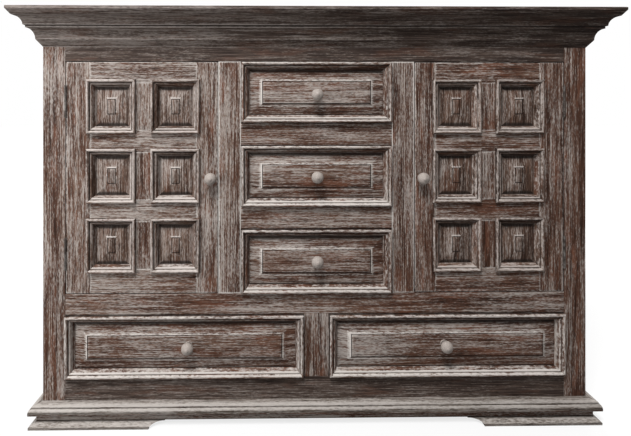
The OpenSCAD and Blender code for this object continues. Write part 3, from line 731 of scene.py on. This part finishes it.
for where in ("front", "left", "right"):
    run_of_moulding("base", where, ledge_outline, LEDGE_OAK, ledge_wash_and_shade)
rear_sizes = []
for inward, low_z, high_z in ((PLINTH_IN, PLINTH_Z, LEDGE_Z), (LEDGE_IN, LEDGE_Z, case_z)):
    side_x = half_w - inward
    rear_sizes.append(((-side_x, back_y - inward, low_z), (side_x, back_y, high_z)))
boards("base_rear", PALE_OAK, "x", rear_sizes)
print("crown points:", len(crown_outline), "base points:", len(ledge_outline))

# %% [markdown]
# ## The top
# The top is one wide glued panel. Its undercut edge makes the crown's last member. The panel
# starts as a rectangle that is extruded upwards in steps, and at each step its corners move out or
# in. Cuts along its length then separate the planks, and each plank takes its own grain.

# %% Top panel
piece = new_piece()
low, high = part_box("top_board")
slant = 10 * MM
steps = [(0.6 * MM, 12.9 * MM, 0.3), (0.0, 13.5 * MM, 0.5), (0.0, 19.8 * MM, 0.0),
         (1.2 * MM, 21 * MM, 0.6), (8 * MM, 21 * MM, 0.0)]
corners = [(low.x + slant, low.y + slant), (high.x - slant, low.y + slant),
           (high.x - slant, high.y), (low.x + slant, high.y)]
first = piece.faces.new([piece.verts.new((x, y, low.z)) for x, y in corners])
face = first
# The lowest corners are painted dark, as dirt and painted shade, so the undercut edge darkens
# towards its bottom.
wear = {v: (0.0, 0.5) for v in piece.verts}
for inset, height, lime in steps:
    face = rise(piece, face, first)
    for vert in face.verts:
        side = 1 if vert.co.x > 0 else -1
        vert.co.x = side * (high.x - inset)
        if vert.co.y < 0:
            vert.co.y = low.y + inset
        vert.co.z = low.z + height
        wear[vert] = (lime, 0.0)
planks = 5
width = (high.y - low.y) / planks
for i in range(1, planks):
    bmesh.ops.bisect_plane(piece, geom=piece.verts[:] + piece.edges[:] + piece.faces[:],
                           plane_co=(0, low.y + i * width, 0), plane_no=(0, 1, 0))
woods = [fresh_wood() for i in range(planks)]
for f in piece.faces:
    plank = min(int((f.calc_center_median().y - low.y) / width), planks - 1)
    paint(piece, [f], "x", woods[plank], wear, fall=CROWN_PAINTED_LIGHT_FALL)
finish_piece(piece, "top_board", DARK_OAK, smooth=30)
print("top done")

# %% [markdown]
# ## Feet
# The feet are low brackets that flare out to the floor. Their inner ends are cut back in a hollow
# curve that ends in a square toe. In plan a foot is an L of six corners, extruded upwards level by
# level, and at each level the corners follow the flare and the curve of the ends.

# %% Bracket feet
FOOT_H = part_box("foot_front_right")[1].z
TOE_H = 3 * MM
LIP_H = 0.89 * FOOT_H
FOOT_IN = 30 * MM
CURL = 40 * MM
CURL_STEPS = 8
# Both outlines go up from the floor as (height, distance): how far the foot stands out, and how far
# its end is cut back.
FLARE = [(0.0, 27 * MM), (6 * MM, 27 * MM), (7.3 * MM, 25.5 * MM), (14.5 * MM, 12 * MM),
         (16 * MM, 12 * MM)]
CUT_BACK = [(0.0, CURL), (TOE_H, CURL)]
for i in range(1, CURL_STEPS + 1):
    angle = math.pi / 2 * i / CURL_STEPS
    CUT_BACK.append((TOE_H + (LIP_H - TOE_H) * math.sin(angle), CURL * math.cos(angle)))
CUT_BACK.append((FOOT_H, 0.0))
LEVELS = sorted([z for z, back in CUT_BACK] + [z for z, out in FLARE[1:-1]])


def distance_at(outline, z):
    for (z0, first), (z1, second) in zip(outline, outline[1:]):
        if z <= z1 + 1e-9:
            return first + (second - first) * (z - z0) / (z1 - z0)
    return outline[-1][1]


def foot_plan(kind, side, z):
    """The six corners of a foot at one height, in order round it."""
    out = distance_at(FLARE, z)
    back = distance_at(CUT_BACK, z)
    low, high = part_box("foot_%s_right" % kind)
    out_x = half_w + out
    side_x = half_w - FOOT_IN
    if kind == "front":
        inner_x = low.x + back
        inner_y = high.y - back
        plan = [(inner_x, front_y + FOOT_IN), (inner_x, front_y - out), (out_x, front_y - out),
                (out_x, inner_y), (side_x, inner_y), (side_x, front_y + FOOT_IN)]
    else:
        inner_y = low.y + back
        plan = [(out_x, inner_y), (out_x, back_y), (low.x, back_y), (low.x, back_y - FOOT_IN),
                (side_x, back_y - FOOT_IN), (side_x, inner_y)]
    return [Vector((side * x, y, z)) for x, y in plan]


def foot_wash_and_shade(z):
    """Wash and painted highlight lie on the slope of the flare, which faces up; dirt and painted
    shade lie above and below it.
    """
    if z > 15 * MM:
        return (0.2, 1.0)
    if z >= 14 * MM:
        return (0.2, 0.45)
    return (0.6, 0.0) if z > 7 * MM else (0.1, 0.45)


def foot(kind, side_name):
    side = 1 if side_name == "right" else -1
    piece = new_piece()
    corners = [piece.verts.new(at) for at in foot_plan(kind, side, LEVELS[0])]
    wear = {v: (0.0, 0.3) for v in corners}
    first = piece.faces.new(corners)
    face = first
    for z in LEVELS[1:]:
        face = rise(piece, face, first)
        placed = {}
        for vert in face.verts:
            near = min(range(6), key=lambda i: (corners[i].co - vert.co).length_squared)
            placed[near] = vert
            wear[vert] = foot_wash_and_shade(z)
        corners = [placed[i] for i in range(6)]
        for vert, at in zip(corners, foot_plan(kind, side, z)):
            vert.co = at
    woods = (fresh_wood(), fresh_wood())
    for f in piece.faces:
        at = f.calc_center_median()
        on_side = abs(at.x) > half_w - FOOT_IN and front_y + FOOT_IN < at.y < back_y - FOOT_IN
        on_side = on_side or abs(f.normal.x) > 0.8
        paint(piece, [f], "y" if on_side else "x", woods[on_side], wear)
    finish_piece(piece, "foot_%s_%s" % (kind, side_name), LEDGE_OAK, smooth=30)


for kind in ("front", "rear"):
    for side_name in ("left", "right"):
        foot(kind, side_name)
print("foot levels:", len(LEVELS))

# %% [markdown]
# ## Frames that climb
# A drawer front and a door coffer are both made of rectangles one inside the other. So one helper
# extrudes a face again and again, and puts its four corners at the next distance from the edge and
# the next height. The corners run inwards on straight lines, which gives mitres and hips. The grain
# of a moulding follows each side; that of a field runs one way.

# %% Climbing rectangles
def mould_outline(width, crest, floor):
    """A panel moulding from its outer edge in: (distance, height, zone) at each point."""
    foot_h = floor + 1.2 * MM
    bead = crest - 5.3 * MM
    near, far = 0.55 * width, 0.92 * width
    front = ((0.0, 2.6, "edge"), (0.03, 1.2, "edge"), (0.08, 0.3, "rim"), (0.16, 0.0, "rim"),
             (0.25, 0.5, "crest"), (0.33, 2.0, "fall"), (0.39, 4.6, "fall"), (0.41, 7.3, "quirk"),
             (0.455, 7.3, "quirk"), (0.48, 6.1, "bead"))
    out = [(part * width, crest - below * MM, zone) for part, below, zone in front]
    for i in range(7):
        t = i / 6
        height = foot_h + (bead - foot_h) * (1 - t ** 1.8)
        out.append((near + (far - near) * t, height, "bead" if i < 3 else "slope"))
    out.append((width, foot_h - 0.4 * MM, "foot"))
    return out


# How wash, dirt and painted light lie in each zone of a moulding or field, as a pair, wash with
# painted highlight then dirt with painted shade, at its top, bottom, left and right. Ridges hold
# the wash and hollows the dirt. On top of that, what faces up or towards the left, towards the
# lamp, is painted paler as a painted highlight, and what faces down is painted darker as painted
# shade.
SIDES = ("top", "bottom", "left", "right")
WEAR_AND_LIGHT_ZONES = {
    "edge": ((0.6, 0), (0, 0.4), (0.5, 0), (0.1, 0.2)),
    "rim": ((0.65, 0), (0.3, 0.2), (0.6, 0), (0.3, 0)),
    "crest": ((0.45, 0), (0.9, 0), (0.2, 0.1), (0.65, 0)),
    "fall": ((0.1, 0.2), (0.75, 0), (0, 0.5), (0.5, 0)),
    "quirk": ((0, 1), (0.3, 0.25), (0, 1), (0.1, 0.3)),
    "bead": ((0, 0.4), (1, 0), (0.1, 0.2), (0.55, 0)),
    "slope": ((0, 0.5), (0.42, 0.1), (0, 0.4), (0.4, 0)),
    "foot": ((0, 1), (0, 1), (0, 0.6), (0.1, 0.4)),
    "toe": ((0, 0.8), (0, 0.3), (0.2, 0.1), (0.1, 0.2)),
    "pit": ((0, 1), (0, 1), (0.1, 0.3), (0, 0.5)),
    "bevel": ((0, 0), (0, 0.2), (0, 0), (0, 0)),
    "brink": ((0.35, 0), (0.6, 0), (0.5, 0), (0.4, 0)),
    "brink_in": ((0.62, 0), (0, 0.5), (0.75, 0), (0.75, 0)),
    "brow": ((0.2, 0), (0.2, 0), (0.1, 0), (0.1, 0)),
    "brow_in": ((0.8, 0), (0.2, 0.1), (0.45, 0), (0.45, 0)),
}
# A saw groove and the gap beside the frame are painted dark, as dirt and painted shade.
EVEN_ZONES = {"back": (0, 0), "flat": (0, 0), "heart": (0, 0.35), "saw": (0, 0.9), "lip": (0.3, 0),
              "gap": (0, 1)}
for zone, pair in EVEN_ZONES.items():
    WEAR_AND_LIGHT_ZONES[zone] = (pair, pair, pair, pair)
FLAT_GRAIN = 0.15
# Painted light on the field's slopes: those facing up and to the left are painted paler, those
# facing down and to the right darker.
SLOPE_LIGHT_TONES = {"top": 0.3, "bottom": -0.6, "left": 0.5, "right": -0.5}


class Climb:
    """A rectangle on the front, w by h round a centre, that climbs and narrows step by step."""

    def __init__(self, centre, size, depth, tone=0.0):
        self.centre = centre
        self.size = size
        self.tone = tone
        self.part = new_piece()
        corners = [(-1, -1), (1, -1), (1, 1), (-1, 1)]
        verts = [self.part.verts.new(self.at(sx, sz, 0.0, 0.0, depth)) for sx, sz in corners]
        self.face = self.part.faces.new(verts)
        self.first = self.face
        self.zone = {v: "back" for v in verts}
        self.sides = {"x": (fresh_wood(), fresh_wood()), "z": (fresh_wood(), fresh_wood())}

    def at(self, sx, sz, in_x, in_z, height):
        """A corner: so far in from both edges, so high over the face frame."""
        return Vector((self.centre[0] + sx * (self.size[0] / 2 - in_x), front_y - height,
                       self.centre[1] + sz * (self.size[1] / 2 - in_z)))

    def place(self, in_x, in_z, height):
        """Moves the four corners of the newest face."""
        for vert in self.face.verts:
            sx = 1 if vert.co.x > self.centre[0] else -1
            sz = 1 if vert.co.z > self.centre[1] else -1
            vert.co = self.at(sx, sz, in_x, in_z, height)

    def step(self, in_x, in_z, height, zone="back", run=None, wood=None):
        """run is the grain's direction, or None where it follows each side."""
        self.face = rise(self.part, self.face, self.first)
        self.place(in_x, in_z, height)
        self.zone.update({v: zone for v in self.face.verts})
        ring = {f for v in self.face.verts for f in v.link_faces} - {self.face}
        for face in ring:
            self.paint_side(face, run, wood)

    def paint_side(self, face, run=None, wood=None):
        middle = face.calc_center_median()
        level = abs(middle.x - self.centre[0]) < 1e-6
        far = middle.z > self.centre[1] if level else middle.x > self.centre[0]
        side = ("bottom", "top")[far] if level else ("left", "right")[far]
        # A field's slope takes a painted light tone from the way it faces.
        tone = self.tone + (SLOPE_LIGHT_TONES[side] if run else 0.0)
        if run is None:
            run = "x" if level else "z"
            wood = self.sides[run][int(far)]
        wear = {v: WEAR_AND_LIGHT_ZONES[self.zone[v]][SIDES.index(side)] for v in face.verts}
        paint(self.part, [face], run, wood, wear, tone, FLAT_GRAIN)


print("climbing frames ready,", len(WEAR_AND_LIGHT_ZONES), "zones")

# %% [markdown]
# ## Drawer fronts
# A front is a slab with a raised field and a heavy moulding planted round its edge. From the
# moulding's foot the field climbs to a fine saw groove, and the flat stands inside it. The knobs
# are turned: half an outline, spun once round its axis. Each drawer has its own tone, and the wide
# ones get a paler one, against the painted light that darkens the tone towards the right.

# %% Drawer fronts
MOULD_W = 21.5 * MM
DRAWER_CREST = 14 * MM
RECESS = 6 * MM
GROOVE_W = 2.4 * MM
GROOVE_D = 1.6 * MM
FIELD_TOP = 5 * MM
FIELD_RISE = 1 * MM
FLAT_H = 56 * MM
TUCK = 0.5 * MM


def raised_field(climb, edge, bevel, top, run, wood, floor, toe, brink, flat):
    """The field's bevel, its groove and its flat, from a distance to the outer edge."""
    steep = 0.62 / 0.76
    stops = [(0.0, 0.0, "foot"), (0.12, 0.12 * steep, toe), (0.35, 0.35 * steep, "bevel"),
             (0.7, 0.7 * steep, "bevel"), (0.76, 0.62, brink), (0.86, 0.81, brink),
             (0.9, 0.62 + 0.38 * 0.14 / 0.24, brink + "_in"), (1.0, 1.0, brink + "_in")]
    for part, climbed, zone in stops:
        height = floor + (top - floor) * climbed
        climb.step(edge + bevel[0] * part, edge + bevel[1] * part, height, zone, run, wood)
    groove = [(0.15, top - GROOVE_D, "saw"), (0.85, top - GROOVE_D, "saw"),
              (1.0, top + FIELD_RISE - 0.4 * MM, "lip"), (1.25, top + FIELD_RISE, "lip"),
              (3.4, top + FIELD_RISE, flat)]
    for part, height, zone in groove:
        inward = edge + GROOVE_W * part
        climb.step(inward + bevel[0], inward + bevel[1], height, zone, run, wood)
    wear = {v: WEAR_AND_LIGHT_ZONES[flat][0] for v in climb.face.verts}
    paint(climb.part, [climb.face], run, wood, wear, climb.tone, FLAT_GRAIN)


def drawer_front(name, bevel, tone):
    node = name + "_front"
    low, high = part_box(node)
    centre = ((low.x + high.x) / 2, (low.z + high.z) / 2)
    climb = Climb(centre, (high.x - low.x, high.z - low.z), front_y - frame_y, tone)
    # The slab's narrow faces are clean at the back and painted dark beside the frame, as dirt and
    # painted shade in the gap.
    for height, zone in ((-4 * MM, "back"), (0.0, "gap"), (3 * MM, "gap")):
        climb.step(0.0, 0.0, height, zone)
    for inward, height, zone in mould_outline(MOULD_W, DRAWER_CREST, -RECESS):
        climb.step(inward, inward, height, zone)
    field_h = high.z - low.z - 2 * (MOULD_W - TUCK)
    bevel_z = (field_h - FLAT_H - 3 * GROOVE_W) / 2 - TUCK
    raised_field(climb, MOULD_W, (bevel, bevel_z), FIELD_TOP, "x", fresh_wood(), -RECESS,
                 "toe", "brink", "flat")
    paint(climb.part, [climb.first], "x", fresh_wood(), {})
    finish_piece(climb.part, node, OAK, name)


def turned_knob(node, body):
    low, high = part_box(node)
    piece = new_piece()
    head_z, head_r, head_h = 22.3 * MM, 16 * MM, 12.6 * MM
    stem = ((0, 0), (9.9, 0), (9.9, 1.6), (9.4, 2.4), (8.9, 3.6), (7.4, 4.6), (6.4, 6), (6.3, 8.5))
    outline = [(r * MM, out * MM) for r, out in stem]
    outline += arc((0.0, head_z), (head_r, head_h), -62, 74, 16)
    outline += [(r * MM, out * MM) for r, out in ((4.16, 34.9), (3.9, 35.6), (3.2, 36), (0, 36))]
    axis = Vector(((low.x + high.x) / 2, high.y, (low.z + high.z) / 2))
    verts = [piece.verts.new(axis + Vector((r, -out, 0.0))) for r, out in outline]
    edges = [piece.edges.new(pair) for pair in zip(verts, verts[1:])]
    bmesh.ops.spin(piece, geom=verts + edges, cent=axis, axis=(0, 1, 0), angle=2 * math.pi,
                   steps=48, use_merge=True, use_duplicate=False)
    bmesh.ops.remove_doubles(piece, verts=piece.verts, dist=0.01 * MM)
    wear = {}
    for v in piece.verts:
        out = (axis.y - v.co.y) / MM
        # The neck under the head is painted dark, as dirt and painted shade.
        under = 1.0 if 3.0 < out < 11.5 else 0.0
        wear[v] = (1.0 if out > 20 else 0.4, under)
    paint(piece, piece.faces, "y", fresh_wood(), wear)
    finish_piece(piece, node, KNOB_WOOD, body, 50)


DRAWERS = {"drawer_top": (34.5 * MM, 0.1), "drawer_middle": (34.5 * MM, 0.4),
           "drawer_bottom": (34.5 * MM, 0.4), "drawer_wide_left": (36.5 * MM, 0.6),
           "drawer_wide_right": (36.5 * MM, 1.1)}
for name, (bevel, tone) in DRAWERS.items():
    drawer_front(name, bevel, tone)
    turned_knob(name + "_knob", name)
for name in ("door_left", "door_right"):
    turned_knob(name + "_knob", name)
print("drawer fronts:", len(DRAWERS))

# %% [markdown]
# ## Drawer boxes
# Behind each front is an open box of bare boards, with its bottom let in a little above the lower
# edge. The sides run the whole depth, and the boards at the front and back stand between them.

# %% Drawer boxes
WALL = 12 * MM
BOTTOM_T = 6 * MM
BOTTOM_RISE = 8 * MM
BOX_ARRIS = 1.5 * MM


def drawer_box(name):
    low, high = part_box(name + "_box")
    piece = new_piece()
    for x in (low.x, high.x - WALL):
        board(piece, (x, low.y, low.z), (x + WALL, high.y, high.z), "y", arris=BOX_ARRIS)
    for y in (low.y, high.y - WALL):
        board(piece, (low.x + WALL, y, low.z), (high.x - WALL, y + WALL, high.z), "x",
              arris=BOX_ARRIS)
    board(piece, (low.x + WALL, low.y + WALL, low.z + BOTTOM_RISE),
          (high.x - WALL, high.y - WALL, low.z + BOTTOM_RISE + BOTTOM_T), "x")
    finish_piece(piece, name + "_box", BARE_WOOD, name)


for name in DRAWERS:
    drawer_box(name)
print("drawer boxes:", len(DRAWERS))

# %% [markdown]
# ## Doors
# A door is a frame of stiles, rails and muntins, with six coffers. In each opening lies a raised
# panel, and over its edge a moulding that laps onto the frame. The moulding is a closed ring: the
# climb starts at its back, runs over the front, and the two open ends are bridged.

# %% Door frames and coffers
LAP = 9 * MM
COFFER_MOULD_W = 21 * MM
COFFER_CREST = 10.5 * MM
COFFER_RECESS = 8 * MM
COFFER_W = 132 * MM
CROSS_H = 41 * MM
MUNTIN_W = 41 * MM
COFFER_FLAT = (18 * MM, 38 * MM)
PANEL_BACK = 18 * MM
FIELD_GAP = 1 * MM
ROWS = 3


def coffer_places(name):
    low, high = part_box(name + "_mouldings")
    height = (high.z - low.z - (ROWS - 1) * CROSS_H) / ROWS
    xs = (low.x + COFFER_W / 2, high.x - COFFER_W / 2)
    zs = [low.z + height / 2 + i * (height + CROSS_H) for i in range(ROWS)]
    return xs, zs, height


def door_frame(name):
    low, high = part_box(name + "_frame")
    in_low, in_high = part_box(name + "_mouldings")
    xs, zs, height = coffer_places(name)
    left_x = in_low.x + LAP
    right_x = in_high.x - LAP
    low_z = in_low.z + LAP
    high_z = in_high.z - LAP
    middle = (xs[0] + xs[1]) / 2
    half_muntin = MUNTIN_W / 2 + LAP
    half_cross = CROSS_H / 2 + LAP
    crossings = [(zs[i] + zs[i + 1]) / 2 for i in range(ROWS - 1)]
    piece = new_piece()

    def plank(x, x_end, z, z_end, along):
        board(piece, (x, low.y, z), (x_end, high.y, z_end), along, arris=0.6 * MM, fade=5 * MM,
              lime=0.6, tone=0.3, gap=0.7)

    plank(low.x, left_x, low.z, high.z, "z")
    plank(right_x, high.x, low.z, high.z, "z")
    plank(left_x, right_x, low.z, low_z, "x")
    plank(left_x, right_x, high_z, high.z, "x")
    for z in crossings:
        plank(left_x, right_x, z - half_cross, z + half_cross, "x")
    starts = [low_z] + [z + half_cross for z in crossings]
    ends = [z - half_cross for z in crossings] + [high_z]
    for z, z_end in zip(starts, ends):
        plank(middle - half_muntin, middle + half_muntin, z, z_end, "z")
    finish_piece(piece, name + "_frame", OAK, name)


def coffer_moulding(piece, centre, size):
    climb = Climb(centre, size, -COFFER_RECESS)
    climb.place(LAP, LAP, -COFFER_RECESS)
    climb.step(LAP, LAP, 0.0)
    climb.step(0.0, 0.0, 0.0, "saw")
    for inward, height, zone in mould_outline(COFFER_MOULD_W, COFFER_CREST, -COFFER_RECESS):
        climb.step(inward, inward, height, zone)
    climb.step(COFFER_MOULD_W, COFFER_MOULD_W, -COFFER_RECESS, "saw")
    part = climb.part
    rims = list(climb.face.edges) + list(climb.first.edges)
    bmesh.ops.delete(part, geom=[climb.face, climb.first], context="FACES_ONLY")
    closing = bmesh.ops.bridge_loops(part, edges=rims)["faces"]
    for face in closing:
        climb.paint_side(face)
    join(piece, part)


def coffer_panel(piece, centre, size):
    """The panel behind one moulding: thin board, bevels, groove and flat."""
    climb = Climb(centre, (size[0] - 2 * LAP, size[1] - 2 * LAP), -PANEL_BACK)
    wood = fresh_wood()
    paint(climb.part, [climb.first], "z", wood, {})
    climb.step(0.0, 0.0, -COFFER_RECESS, "saw", "z", wood)
    edge = COFFER_MOULD_W - LAP + FIELD_GAP
    bevel = [(whole - flat) / 2 - GROOVE_W - COFFER_MOULD_W - FIELD_GAP
             for whole, flat in zip(size, COFFER_FLAT)]
    raised_field(climb, edge, bevel, 0.0, "z", wood, -COFFER_RECESS, "pit", "brow", "heart")
    join(piece, climb.part)


for name in ("door_left", "door_right"):
    door_frame(name)
    xs, zs, height = coffer_places(name)
    mouldings = new_piece()
    panels = new_piece()
    for x in xs:
        for z in zs:
            coffer_moulding(mouldings, (x, z), (COFFER_W, height))
            coffer_panel(panels, (x, z), (COFFER_W, height))
    finish_piece(mouldings, name + "_mouldings", PALE_OAK, name)
    finish_piece(panels, name + "_panels", PALE_OAK, name)
print("coffers:", 2 * len(xs) * len(zs), "of height", round(height, 4))

# %% [markdown]
# ## Hinges
# The butt hinges keep the CAD model's own knuckles, pins and leaves, whose shapes are already
# right. They only get the dull steel.

# %% Hinges
HINGE_NODES = ("hinge_leaves", "door_left_hinges", "door_right_hinges")
for node in HINGE_NODES:
    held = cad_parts[node]
    held.data.materials.clear()
    held.data.materials.append(STEEL)
print("steel on", len(HINGE_NODES), "nodes")

# %% [markdown]
# ## Floor and light
# The floor is plain and pale, and turns white with distance, as what lies behind the dresser is
# white. A large soft lamp high in front, a little to the left, draws the soft shadows under the
# mouldings and knobs. A weak one low on the left lightens what faces that way, and two more keep
# the back and the right side readable. The sky fills in the rest.

# %% Floor
FLOOR_GREY = 0.25
FLOOR_GLOW = 0.75
FADE_FROM = 1.1
FADE_TO = 2.6
floor_mesh = bmesh.new()
bmesh.ops.create_grid(floor_mesh, x_segments=1, y_segments=1, size=20.0)
floor_data = bpy.data.meshes.new("floor")
floor_mesh.to_mesh(floor_data)
floor_mesh.free()
floor = bpy.data.objects.new("floor", floor_data)
scene.collection.objects.link(floor)
ground = Finish("pale_floor")
seen = ground.add("ShaderNodeLightPath").out("Is Camera Ray")
spot = ground.add("ShaderNodeTexCoord").out("Object")
away = ground.add("ShaderNodeVectorMath", {"operation": "LENGTH"}, {0: spot}).out("Value")
far = ground.step(away, FADE_FROM, FADE_TO)
grey = (FLOOR_GREY, FLOOR_GREY, FLOOR_GREY, 1.0)
plain = ground.add("ShaderNodeBsdfDiffuse", {}, {"Color": grey})
glow = ground.add("ShaderNodeEmission", {}, {
    "Color": (1.0, 1.0, 1.0, 1.0), "Strength": seen * (FLOOR_GLOW + far * (1 - FLOOR_GLOW))})
both = ground.add("ShaderNodeAddShader", {}, {0: plain, 1: glow})
ground.add("ShaderNodeOutputMaterial", {}, {"Surface": both})
floor_data.materials.append(ground.owner)
print("floor ready")

# %% Lamp and sky
def lamp(name, place, target, size, power):
    data = bpy.data.lights.new(name, "AREA")
    data.shape = "SQUARE"
    data.size = size
    data.energy = power
    made = bpy.data.objects.new(name, data)
    made.location = place
    aim = Vector(target) - Vector(place)
    made.rotation_euler = aim.to_track_quat("-Z", "Y").to_euler()
    scene.collection.objects.link(made)


lamp("high_lamp", (-0.8, -2.3, 3.9), (0.0, -0.19, 0.6), 1.0, 165)
lamp("left_lamp", (-1.7, -1.25, 0.9), (-0.3, -0.19, 0.6), 0.8, 16)
lamp("back_lamp", (0.8, 3.2, 2.6), (0.0, 0.25, 0.6), 1.5, 70)
lamp("right_lamp", (3.0, 1.2, 1.6), (0.74, 0.1, 0.6), 1.2, 25)
# The sky is white to the camera and in reflections, and dim as a light.
SKY_LIGHT = 0.18
sky = Finish("sky", bpy.data.worlds.new("sky"))
scene.world = sky.owner
seen = sky.add("ShaderNodeLightPath").out("Is Camera Ray")
for ray in ("Is Glossy Ray", "Is Transmission Ray"):
    seen = seen.sum("MAXIMUM", seen, sky.add("ShaderNodeLightPath").out(ray))
strength = sky.add("ShaderNodeMapRange", {}, {"Value": seen, "To Min": SKY_LIGHT, "To Max": 1.0})
air = sky.add("ShaderNodeBackground", {}, {"Color": (1.0, 1.0, 1.0, 1.0), "Strength": strength})
sky.add("ShaderNodeOutputWorld", {}, {"Surface": air})
print("faces in all:", sum(piece_count), "in", len(piece_count), "pieces")
